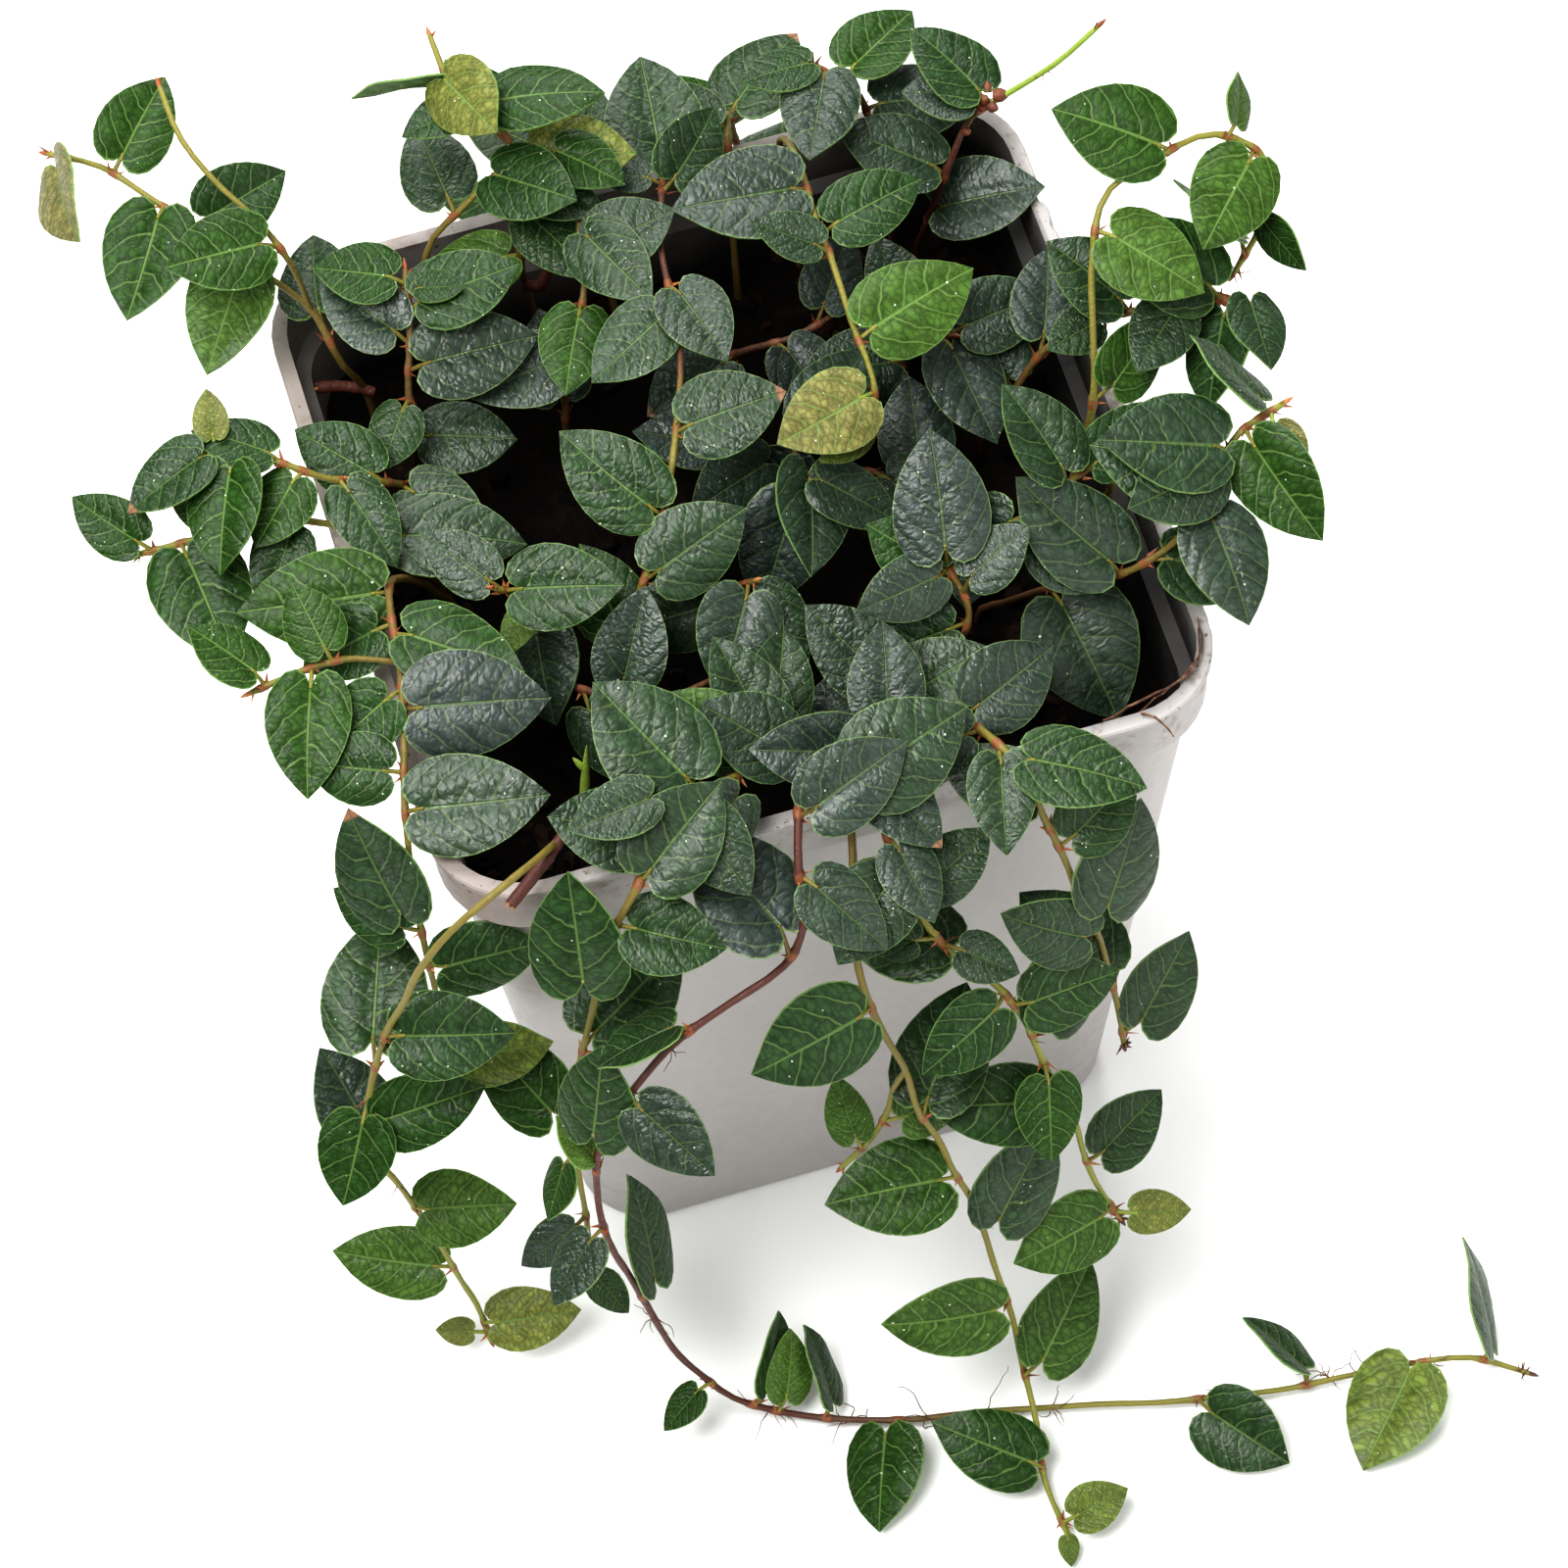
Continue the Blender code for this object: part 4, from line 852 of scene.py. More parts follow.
# Upper or under side of the leaves; tone holds age, seed and dust
def buildLeafMaterial(name, relief, under):
    ink = leafInk
    material, tree, shader, place = newMaterial(name)
    age, seed, dust = readTone(tree)
    plan, grid = [addNode(tree, "UVMap", uv_map=key).outputs[0] for key in ("plan", "grid")]
    given = {"Plan": plan, "Grid": grid, "Seed": seed, "Net": ink["underNet" if under else "upperNet"]}
    marks = addNode(tree, "Group", given, relief).outputs
    blotch = mottle(tree, place, 260.0, 4.0)
    body = colourRamp(tree, age, ink["ages"])
    if under:
        body = blend(tree, ink["underShare"], body, ink["under"])
    body = brighten(tree, body, fade(tree, blotch, 0.32, 0.70, *ink["blotchShade"]))
    # Painted shade along the creases of the net on the upper side, and painted light on the raised parts of
    # the relief with painted shade in its hollows, on both sides
    dark = fade(tree, marks["Creases"], 0.0, 1.0, 1.0, 1.0 if under else ink["creaseShade"])
    light = fade(tree, marks["Height"], 0.15, 0.85, *ink["reliefLightAndShade"])
    body = brighten(tree, body, times(tree, dark, light))
    drawn = times(tree, marks["Veins"], fade(tree, age, 0.10, 0.55, *ink["veinShare"]))
    specks = fade(tree, mottle(tree, plan, 34.0, 4.0, 0.7), 0.56, 0.66)
    film = times(tree, fade(tree, mottle(tree, plan, 4.0, 3.0), 0.46, 0.70), specks, dust)
    along = scaled(tree, blotch, 0.10, splitVector(tree, plan)[0])
    dry = times(tree, fade(tree, along, *ink["dryFrom"]), calc(tree, "GREATER_THAN", seed, ink["dryLuck"]))
    # A pale green edge round every leaf, partly its own colour and partly a painted rim highlight
    edge = times(tree, marks["Margin"], ink["paleEdgeAndHighlightShare"])
    dots = times(tree, marks["Dots"], 0.0 if under else ink["dotShare"])
    for share, key in ((drawn, "veinPale"), (film, "dust"), (edge, "paleEdgeAndHighlight"), (dots, "dots"),
                       (dry, "dryTip")):
        body = blend(tree, share, body, ink[key])
    tree.links.new(fade(tree, age, 0.1, 0.5, *ink["shine"]), shader.inputs["Specular IOR Level"])
    height = times(tree, marks["Height"], times(tree, fade(tree, age, 0.15, 0.55, 1.0, 0.75),
                                                fade(tree, seed, 0.0, 1.0, 0.7, 1.1)), -1.0 if under else 1.0)
    rough = fade(tree, blotch, 0.25, 0.8, *ink["underRough" if under else "upperRough"])
    wire(tree, shader, body, rough, height, ink["relief"])
    return material


leafLook = {
    "spansAlong": 8, "spansAcross": 8, "thickness": 0.34, "flatThickness": 0.1,
    # Half the outline: from the notch round the lobe, then along the side to the tip
    "lobe": [(0.0, 0.0, 0), (-0.080, 0.040, 0), (-0.135, 0.120, 0), (-0.125, 0.220, 0), (-0.04, 0.318, 0)],
    "side": [(-0.04, 0.318, 0), (0.10, 0.388, 0), (0.26, 0.410, 0), (0.42, 0.392, 0), (0.58, 0.339, 0),
             (0.74, 0.248, 0), (0.88, 0.128, 0), (1.0, 0.0, 0)],
    "ribSink": 0.018, "ribNarrow": 3, "panelRise": 0.016, "lean": 0.05, "leanBow": 1.2,
    "ripple": 0.016, "rippleVary": (0.4, 1.3), "rippleAlong": 9, "rippleAcross": 2,
    "stalkThick": 0.40, "stalkSides": 6, "stalkShape": (1.25, 1, 0.92, 0.95, 0.8),
    "stalkSag": 0.5, "sagUp": 0.5, "sagBack": 0.3, "stalkPast": 0.5, "stalkUnder": 0.6,
    "stalkAge": 0.48, "stalkFresh": 0.45, "ageVary": 0.04, "dust": (0.15, 0.75), "freshDust": 0.7,
}


# One flat heart-shaped blade on a grid, thickened; every leaf is a bent copy of it.
# On half a leaf, s runs from base to tip and t from the rib to the edge
def modelBlade():
    look = leafLook
    lobe, side = smoothLine(look["lobe"]), smoothLine(look["side"])
    tip = Vector((1, 0, 0))
    blade = addShape(bpy.ops.mesh.primitive_grid_add, x_subdivisions=look["spansAlong"],
                     y_subdivisions=look["spansAcross"], size=2)
    places = {}
    for vertex in blade.data.vertices:
        s, t = (vertex.co.x + 1) / 2, abs(vertex.co.y)
        base, edge = pointAt(*lobe, t * lobe[1][-1]), pointAt(*side, s * side[1][-1])
        spot = base * (1 - s) + tip * s + tip * s * (1 - t) + edge * t - side[0][0] * (1 - s) * t - tip * s
        t = vertex.co.y
        vertex.co = (spot.x, math.copysign(spot.y, t), 0)
        places[(round(vertex.co.x, 4), round(vertex.co.y, 4))] = (s, t if s < 0.999 else 0.0)
    startEdit("VERT")
    bpy.ops.mesh.select_all(action="SELECT")
    bpy.ops.mesh.remove_doubles(threshold=0.001)
    endEdit()
    applyModifier(blade, "SOLIDIFY", thickness=look["flatThickness"], offset=-1, use_rim=True)
    slots = [0 if face.normal.z > 0.5 else 1 for face in blade.data.polygons]
    grid = [places[(round(vertex.co.x, 4), round(vertex.co.y, 4))] for vertex in blade.data.vertices]
    points, faces = takeTemplate(blade)
    return {"points": points, "faces": faces, "slots": slots, "grid": grid}


# Bend one copy of the blade over its place
def bendBlade(blade, place, chance):
    look, length = leafLook, place["length"]
    phase, ripple = chance.uniform(0, fullTurn), look["ripple"] * chance.uniform(*look["rippleVary"])
    lean = chance.uniform(-look["lean"], look["lean"])
    points = []
    for spot, (s, t) in zip(blade["points"], blade["grid"]):
        along = spot.x
        across = spot.y * place["width"] + lean * along * (1 - along) * look["leanBow"]
        rise = bladeRise(along, across, place)
        rise -= look["ribSink"] * max(1 - abs(t) * look["ribNarrow"], 0) * (1 - s)
        rise += look["panelRise"] * math.sin(math.pi * min(abs(t), 1)) * (1 - s * s)
        rise += ripple * abs(t) ** 2 * math.sin(phase + look["rippleAlong"] * s + look["rippleAcross"] * t)
        high = rise * length + spot.z / look["flatThickness"] * look["thickness"]
        points.append(place["notch"] + place["tip"] * along * length + place["side"] * across * length
                      + place["facing"] * high)
    return points


# Leaf stalk from the stem to the notch of the blade, a little bowed
def stalkPoints(place):
    look, tip, facing = leafLook, place["tip"], place["facing"]
    bow = (facing * look["sagUp"] - tip * look["sagBack"]) * look["stalkSag"]
    sunk = place["notch"] + tip * look["stalkPast"] - facing * look["thickness"] * look["stalkUnder"]
    last = len(look["stalkShape"]) - 1
    return [place["root"].lerp(sunk, i / last) + bow * math.sin(math.pi * i / last) for i in range(last + 1)]


stemLook = {
    "sides": 8, "every": 3.4, "slim": 0.67, "nodeReach": 1.1, "nodeRings": (-1.5, -0.5, 0.5, 1.5),
    "least": 0.45, "swell": 0.26, "rough": 0.09, "roughClose": 0.4, "greening": 0.12, "seed": 17,
    # Two rings that close the tip, and the rings of a bud: how far out, how wide
    "tipRings": ((0.55, 0.8), (0.85, 0.35)),
    "budRings": ((0.2, 1.2), (0.22, 0.93), (0.22, 0.7), (0.18, 0.5), (0.08, 0.3)),
    "budLong": 2.4, "budWide": 0.85, "budSink": 0.3, "scaleLong": 2.1, "scaleWide": 0.8,
    "freshTip": {"scales": 3, "pull": 1.2, "bud": 0.3}, "dryTip": {"scales": 9, "pull": 0.2, "bud": 1.0},
    "tipReach": 1.2, "tipVary": (0.6, 1.3), "dryTone": (0.8, 1.0), "freshTone": 0.4,
    "pairVary": (0.7, 1.15), "pairTurn": (0, 3), "pairOut": 0.9, "pairUp": 0.35, "pairApart": 0.6,
    "pairAlong": 0.2,
    "hairThick": 0.12, "hairTaper": 0.6, "hairSteps": 7, "hairTurn": 0.55, "hairLow": 0.3,
    "hairSides": 4, "hairWander": (-1, 0.8), "hairStart": (-0.9, 0.5), "hairVary": (0.6, 1.2),
}


# One bud, drawn up ring by ring from a short eight-sided drum
def modelBud():
    top = 0.1
    bud = addShape(bpy.ops.mesh.primitive_cylinder_add, (0, 0, top / 2), vertices=8, radius=0.42, depth=top)
    startEdit("FACE")
    for step, grow in stemLook["budRings"]:
        pick(bud, "FACE", lambda face: face.normal.z > 0.9 and face.calc_center_median().z > top - 0.01)
        top += step
        drawOut((0, 0, step), (grow, grow, 1), (0, 0, top))
    endEdit()
    return takeTemplate(bud)


# One brown scale: a flattened cone, pulled over at the tip
def modelScale():
    scale = addShape(bpy.ops.mesh.primitive_cone_add, (0, 0, 0.35), vertices=6, radius1=0.5, radius2=0.18,
                     depth=0.7)
    startEdit("FACE")
    bpy.ops.transform.resize(value=(1, 0.4, 1), center_override=(0, 0, 0))
    pick(scale, "FACE", lambda face: face.normal.z > 0.8)
    drawOut((0, 0.12, 0.3), (0.15, 0.3, 1), (0, 0.12, 1.0))
    endEdit()
    return takeTemplate(scale)


# Put a template on a point, with its height along one direction
def standOn(template, point, ahead, wide, tall, turn=0.0):
    points, faces = template
    side = Matrix.Rotation(turn, 3, ahead) @ ahead.orthogonal().normalized()
    other = ahead.cross(side)
    return [point + side * spot.x * wide + other * spot.y * wide + ahead * spot.z * tall
            for spot in points], faces


# Finer line of a stem, its rings thicker at every node; tone holds age, seed and node
def finerStem(stem, ages, woody, seed):
    look = stemLook
    line, lengths = smoothLine(stem["points"])
    total = lengths[-1]
    nodes = [lengths[min(range(len(line)), key=lambda i: (line[i] - leaf["root"]).length)]
             for leaf in stem["leaves"]]
    count = max(int(total / look["every"]), 2)
    spots = [total * i / count for i in range(count + 1)]
    spots += [node + step for node in nodes for step in look["nodeRings"]]
    kept = []
    for spot in sorted(spot for spot in spots if 0 <= spot <= total):
        if not kept or spot - kept[-1] > look["least"]:
            kept.append(spot)
    points, radii, tone = [], [], []
    for spot in kept:
        share = spot / total
        near = max([math.exp(-((spot - node) / look["nodeReach"]) ** 2) for node in nodes] or [0.0])
        thick = stem["radii"][0] + (stem["radii"][-1] - stem["radii"][0]) * share
        thick *= look["slim"] + look["rough"] * noise.noise(Vector((spot * look["roughClose"], seed * 40, 0)))
        green = share if woody is None else clamp((share - woody) / look["greening"])
        points.append(pointAt(line, lengths, spot))
        radii.append(thick + look["swell"] * near)
        tone.append((ages[0] + (ages[1] - ages[0]) * green, seed, near))
    end, last, ahead = points[-1], radii[-1], (points[-1] - points[-2]).normalized()
    for out, wide in look["tipRings"]:
        points.append(end + ahead * last * out)
        radii.append(last * wide)
        tone.append(tone[-1])
    return points, radii, tone


def addTube(basket, points, radii, sides, slot, tone):
    made, faces = tubeMesh(points, radii, sides)
    if isinstance(tone, list):
        tone = [row for row in tone for _ in range(sides)]
    plan = [(length * 0.1, 0.0) for length in lineLengths(points) for _ in range(sides)]
    addCopy(basket, made, faces, slot, tone, plan)


# One thin root that wanders off from a node
def addHair(basket, start, ahead, length, chance):
    look = stemLook
    points, heading, count = [start], ahead.normalized(), look["hairSteps"]
    for _ in range(count):
        turn = randomStep(chance, rise=look["hairWander"])
        heading = (heading + turn * look["hairTurn"]).normalized()
        spot = points[-1] + heading * length / count
        spot.z = max(spot.z, look["hairLow"])
        points.append(spot)
    radii = [look["hairThick"] * (1 - look["hairTaper"] * i / count) for i in range(count + 1)]
    addTube(basket, points, radii, look["hairSides"], 2, (0.5, chance.random(), 0.0))


# Root and tip age of every stem (0 woody, 1 fresh), and one digit for the age of each leaf
# (0 old and blue-grey, 4 full green, 6 bright, 9 olive yellow); then the share that stays woody, if any
shootLook = {
    "north_west_runner": (0.30, 0.72, ["253449", "4"]),
    "north_west_spray": (0.20, 0.70, ["2384"]),
    "north_spike": (0.30, 0.70, ["53244338"]),
    "middle_creeper": (0.62, 0.10, ["423221212"], 0.55),
    "young_arch": (0.30, 0.75, ["132597"]),
    "north_tuft": (0.10, 0.35, ["1413"]),
    "north_east_shoot": (0.03, 1.0, ["1113"], 0.60),
    "east_arch": (0.60, 0.78, ["4545544"]),
    "east_spray": (0.15, 0.60, ["10222332"]),
    "south_east_spray": (0.10, 0.75, ["11221322429"]),
    "east_creeper": (0.30, 0.62, ["3211"]),
    "west_spray": (0.30, 0.75, ["23343438"]),
    "west_low_spray": (0.45, 0.75, ["23444"]),
    "west_trailer": (0.35, 0.62, ["43440322337", "444"]),
    "south_west_trailer": (0.45, 0.80, ["334415588"]),
    "south_west_hanger": (0.40, 0.75, ["223334413"]),
    "long_runner": (0.02, 0.68, ["1110313613436343373"], 0.66),
    "south_fork": (0.05, 0.78, ["212232333343358"], 0.35),
    "south_east_trailer": (0.60, 0.55, ["1123232233"]),
    "south_trailer": (0.35, 0.80, ["334255477", "55"]),
    "south_rim_creeper": (0.25, 0.60, ["2251222"]),
    "south_centre_tuft": (0.08, 0.30, ["1121012"]),
    "west_inner": (0.40, 0.70, ["1632"]),
    "west_upright": (0.10, 0.45, ["2311334"]),
    "centre_west": (0.20, 0.45, ["11422"]),
    "centre_low": (0.15, 0.30, ["1110"]),
    "centre_east": (0.10, 0.30, ["1101"]),
    "east_inner": (0.20, 0.50, ["21410"]),
    "centre_south": (0.15, 0.40, ["221"]),
    "north_trailer_west": (0.30, 0.75, ["334445"]),
    "north_trailer_east": (0.30, 0.75, ["33445"]),
    "soil_creeper_east": (0.05, 0.25, ["101010"]),
    "soil_creeper_west": (0.05, 0.25, ["0212"]),
    "soil_creeper_north": (0.05, 0.25, ["100"]),
}
slotShoots = {
    "leaves_young": ["young_arch", "north_west_spray", "north_spike"],
    "leaves_grown": ["north_west_runner", "east_arch", "west_spray", "west_low_spray", "south_west_trailer",
                     "south_west_hanger", "long_runner", "south_fork", "south_trailer", "west_trailer"],
}
# Places along the stems, in millimetres, where tufts of thin roots grow: place, count, length
rootTufts = {
    "long_runner": [(98, 4, 4), (187, 7, 5), (232, 6, 6), (246, 5, 7), (260, 5, 10), (270, 7, 9), (281, 6, 5),
                    (311, 4, 4), (330, 7, 6), (336, 5, 7), (348, 5, 4), (364, 6, 3)],
    "east_arch": [(73, 6, 4), (117, 6, 4)],
    "south_west_trailer": [(100, 4, 3), (150, 4, 4)],
    "south_fork": [(98, 4, 3)],
    "north_east_shoot": [(54, 5, 3)],
}
driedTips = ["long_runner", "south_east_trailer", "south_fork", "north_tuft"]


# Bud and scales at the tip of a stem, brown and ragged where the tip has dried
def addTip(stems, models, tip, ahead, dry, seed, chance):
    look, kind = stemLook, stemLook["dryTip" if dry else "freshTip"]
    bud = standOn(models["bud"], tip - ahead * look["budSink"], ahead, look["budWide"], look["budLong"])
    addCopy(stems, *bud, 1, (kind["bud"], seed, 0.0))
    for _ in range(kind["scales"]):
        out = (randomStep(chance) + ahead * kind["pull"]).normalized()
        start = tip - ahead * chance.uniform(0, look["tipReach"])
        long = look["scaleLong"] * chance.uniform(*look["tipVary"])
        scale = standOn(models["scale"], start, out, look["scaleWide"], long)
        dryness = chance.uniform(*look["dryTone"]) if dry else look["freshTone"]
        addCopy(stems, *scale, 1, (dryness, chance.random(), 0.0))


# One leaf with its stalk and the two scales beside the stalk
def addLeaf(leaves, stems, models, place, age, chance):
    look, pair, blade = leafLook, stemLook, models["blade"]
    age = clamp(age + chance.uniform(-look["ageVary"], look["ageVary"]))
    seed = chance.random()
    dust = chance.uniform(*look["dust"]) * (1 - look["freshDust"] * age)
    addCopy(leaves, bendBlade(blade, place, chance), blade["faces"], blade["slots"], (age, seed, dust),
            [(spot.x, spot.y) for spot in blade["points"]], blade["grid"])
    radii = [look["stalkThick"] * share for share in look["stalkShape"]]
    stalkAge = look["stalkAge"] + age * look["stalkFresh"]
    addTube(stems, stalkPoints(place), radii, look["stalkSides"], 0, (stalkAge, seed, 0.0))
    out = (place["notch"] - place["root"]).normalized()
    for side in (-1, 1):
        ahead = (out + place["side"] * side * pair["pairOut"] + place["facing"] * pair["pairUp"]).normalized()
        start = place["root"] + place["side"] * side * pair["pairApart"] + out * pair["pairAlong"]
        long = pair["scaleLong"] * chance.uniform(*pair["pairVary"])
        turn = chance.uniform(*pair["pairTurn"])
        scale = standOn(models["scale"], start, ahead, pair["scaleWide"], long, turn)
        addCopy(stems, *scale, 1, (pair["freshTone"], chance.random(), 0.0))


def buildShoot(name, grown, models, materials, chance):
    leaves, stems = newBasket(), newBasket()
    rootAge, tipAge, digits, *woody = shootLook[name]
    for number, stem in enumerate(grown):
        seed = chance.random()
        startAge = (rootAge + tipAge) / 2 if number else rootAge
        points, radii, tone = finerStem(stem, (startAge, tipAge), woody[0] if woody else None, seed)
        addTube(stems, points, radii, stemLook["sides"], 0, tone)
        ahead = (points[-3] - points[-5]).normalized()
        addTip(stems, models, points[-3], ahead, name in driedTips and number == 0, seed, chance)
        for place in stem["leaves"]:
            addLeaf(leaves, stems, models, place, int(digits[number][place["number"]]) / 9, chance)
    line, lengths = smoothLine(grown[0]["points"])
    shift = (grown[0]["points"][1] - grown[0]["points"][0]).length
    for spot, count, length in rootTufts.get(name, []):
        start = pointAt(line, lengths, spot + shift)
        for _ in range(count):
            ahead = randomStep(chance, rise=stemLook["hairStart"])
            addHair(stems, start, ahead, length * chance.uniform(*stemLook["hairVary"]), chance)
    slot = next((slot for slot, names in slotShoots.items() if name in names), "leaves_old")
    leafPiece = pieceFrom(name + "_leaves", leaves, materials["upper"], materials["under"])
    stemPiece = pieceFrom(name + "_stems", stems, materials["bark"], materials["scale"], materials["hair"])
    finishPiece(leafPiece, slot, name, smooth=50)
    finishPiece(stemPiece, slot, name, smooth=60)


barkInk = {
    "ages": [(0.0, (0.078, 0.021, 0.013)), (0.12, (0.084, 0.034, 0.020)), (0.27, (0.115, 0.058, 0.024)),
             (0.5, (0.150, 0.112, 0.024)), (0.75, (0.200, 0.190, 0.034)), (1.0, (0.230, 0.320, 0.055))],
    "node": (0.205, 0.072, 0.027),
    "scales": [(0.1, (0.09, 0.030, 0.016)), (0.5, (0.27, 0.085, 0.032)), (0.9, (0.45, 0.24, 0.095))],
    "dryScale": (0.055, 0.022, 0.017), "barkDeep": 0.00022, "scaleDeep": 0.00015, "rootDeep": 0.0001,
    "barkRough": (0.42, 0.66), "scaleRough": (0.5, 0.72), "rootRough": 0.75,
    "roots": [(0.3, (0.040, 0.018, 0.012)), (0.55, (0.120, 0.055, 0.030)), (0.75, (0.30, 0.19, 0.11))],
}


def buildBarkMaterial():
    material, tree, shader, place = newMaterial("stem_bark")
    age, _, node = readTone(tree)
    patch = mottle(tree, place, 900.0, 4.0)
    body = colourRamp(tree, plus(tree, age, scaled(tree, patch, 0.30, -0.15)), barkInk["ages"])
    ring = fade(tree, scaled(tree, patch, 0.35, node), 0.55, 1.0, 0.0, 0.85)
    body = blend(tree, ring, body, barkInk["node"])
    rough = fade(tree, patch, 0.3, 0.7, *barkInk["barkRough"])
    wire(tree, shader, body, rough, mottle(tree, place, 1500.0, 5.0), barkInk["barkDeep"])
    return material


def buildScaleMaterial():
    material, tree, shader, place = newMaterial("brown_scales")
    dryness, seed, _ = readTone(tree)
    patch = mottle(tree, place, 1400.0, 3.0)
    body = colourRamp(tree, scaled(tree, patch, 0.5, times(tree, seed, 0.5)), barkInk["scales"])
    body = blend(tree, fade(tree, dryness, 0.5, 1.0, 0.0, 0.9), body, barkInk["dryScale"])
    wire(tree, shader, body, fade(tree, patch, 0.3, 0.7, *barkInk["scaleRough"]), patch, barkInk["scaleDeep"])
    return material


def buildHairMaterial():
    material, tree, shader, place = newMaterial("thin_roots", Roughness=barkInk["rootRough"])
    body = colourRamp(tree, mottle(tree, place, 700.0, 3.0), barkInk["roots"])
    wire(tree, shader, body, None, mottle(tree, place, 2500.0, 2.0), barkInk["rootDeep"])
    return material


# Three short broken branches, as points with radii
twigLook = {
    "twigs": [
        ([(-44.0, -58.5, 155.5), (-48.0, -61.8, 155.0), (-52.0, -64.8, 154.2), (-55.6, -67.4, 153.6)],
         [0.9, 1.15, 1.05, 0.95]),
        ([(-21.6, 51.0, 146.5), (-19.5, 46.5, 152.0), (-17.0, 47.8, 157.5), (-15.5, 48.6, 162.5)],
         [0.8, 1.05, 1.0, 0.9]),
        ([(-50.5, 43.6, 138.7), (-53.0, 44.5, 139.8), (-56.0, 45.2, 140.8), (-59.5, 45.5, 141.5)],
         [0.9, 1.0, 1.05, 1.15]),
    ],
    "every": 0.8, "sides": 9, "thickVary": (0.90, 1.10), "bumpTall": 1.1, "seed": 29,
    "chips": 5, "chipWide": 0.8, "chipLong": (0.8, 1.5), "chipOut": 0.6, "chipSunk": 0.5,
    # Brown bumps and green spears: place, direction, width, and age or height
    "bumps": [
        ((59.5, 47.2, 169.0), (0.92, -0.3, 0.15), 2.5, 0.75),
        ((57.5, 47.4, 168.2), (0.3, -0.5, 0.8), 2.0, 0.7),
        ((58.4, 46.2, 168.0), (0.5, -0.8, 0.3), 1.9, 0.8),
        ((56.2, 46.2, 166.8), (-0.4, 0.6, 0.6), 2.1, 0.72),
        ((57.0, 48.2, 167.4), (-0.3, 0.9, 0.3), 1.8, 0.85),
        ((58.8, 48.0, 169.2), (0.2, 0.7, 0.7), 1.7, 0.7),
        ((54.0, 45.8, 163.5), (0.2, -0.8, 0.5), 1.5, 0.7),
        ((83.4, -0.6, 165.2), (0.5, -0.6, -0.4), 2.2, 0.3),
        ((82.4, -0.3, 165.3), (-0.2, -0.7, -0.6), 1.9, 0.2),
        ((84.3, -1.4, 164.8), (0.3, -0.9, -0.2), 1.6, 0.35),
    ],
    "spears": [((-39.1, -46.7, 139.8), (0.122, 0.050, 0.991), 1.7, 18.4),
               ((-37.7, -46.1, 151.6), (-0.42, 0.25, 0.87), 1.2, 3.6)],
}


# Rough tubes with a splintered end, and the bumps and spears that stand by themselves
def buildTwigs(materials, models):
    look, twigs = twigLook, newBasket()
    chance = random.Random(look["seed"])
    for route, thick in look["twigs"]:
        line, lengths = smoothLine(route)
        count = int(lengths[-1] / look["every"])
        points, radii, tone = [], [], []
        for i in range(count + 1):
            share = i / count
            points.append(pointAt(line, lengths, lengths[-1] * share))
            span = min(int(share * (len(thick) - 1)), len(thick) - 2)
            part = share * (len(thick) - 1) - span
            wide = thick[span] * (1 - part) + thick[span + 1] * part
            radii.append(wide * chance.uniform(*look["thickVary"]))
            tone.append((0.0, chance.random(), 0.0))
        addTube(twigs, points, radii, look["sides"], 0, tone)
        ahead = (points[-1] - points[-3]).normalized()
        for _ in range(look["chips"]):
            out = randomStep(chance).cross(ahead).normalized() * radii[-1] * look["chipOut"]
            start = points[-1] + out - ahead * look["chipSunk"]
            chip = standOn(models["scale"], start, ahead, look["chipWide"], chance.uniform(*look["chipLong"]))
            addCopy(twigs, *chip, 1, (0.0, 0.95, 0.0))
    for place, ahead, wide, age in look["bumps"]:
        tall = wide * look["bumpTall"]
        bump = standOn(models["bud"], Vector(place), Vector(ahead).normalized(), wide, tall)
        addCopy(twigs, *bump, 1, (age, chance.random() * 0.4, 0.0))
    for place, ahead, wide, tall in look["spears"]:
        spear = standOn(models["bud"], Vector(place), Vector(ahead).normalized(), wide, tall)
        addCopy(twigs, *spear, 0, (1.0, chance.random(), 0.0))
    finishPiece(pieceFrom("cut_twigs", twigs, materials["bark"], materials["scale"]), "leaves_old", smooth=50)


potLook = {
    "cornerSegments": 8, "drainRadius": 4.0, "drainOffset": 30.0, "drainSides": 28, "drainDeep": 20.0,
    # Broken places of the thin flange: x, y, size of the bite
    "bites": [(66.2, 39.5, 2.6), (66.0, 33.0, 1.7), (59.2, 47.5, 1.8), (58.9, 52.6, 1.5), (66.0, -50.5, 1.7),
              (65.2, -58.2, 1.8), (-66.0, 24.0, 1.3)],
    "biteDrop": 0.2, "biteRough": 0.45, "biteGrain": 0.9, "biteLong": 1.5, "biteSeed": 4, "paintCorner": 13.0,
    # The scuff colour is pale wear near the foot, made bright enough to be painted light there as well
    "plastic": (0.378, 0.360, 0.352), "dark": (0.318, 0.299, 0.288), "scuff": (0.40, 0.355, 0.315),
    "tide": (0.20, 0.155, 0.125), "stain": (0.125, 0.075, 0.048), "grime": (0.235, 0.195, 0.175),
    # The last colour is the near-black painted shade inside the pot
    "crumb": (0.05, 0.03, 0.022), "insideShade": (0.012, 0.010, 0.009),
    # Heights of the stains, of the painted light at the foot and of the painted shade inside, in metres, and
    # how strong they are
    "footWearAndLightSpan": (0.004, 0.050), "footWearAndLightShare": (0.40, 0.04), "tideHigh": 0.0125, "tideSpan": (0.0003, 0.0014),
    "tideShare": 0.30, "splashSpan": (0.136, 0.150), "splashShare": 0.75, "grimeSpan": (0.085, 0.148),
    "grimeShare": 0.85, "insideShadeSpan": (0.124, 0.146), "insideShadeShare": (0.97, 0.30), "rough": (0.50, 0.66),
    "deep": 0.00005,
}


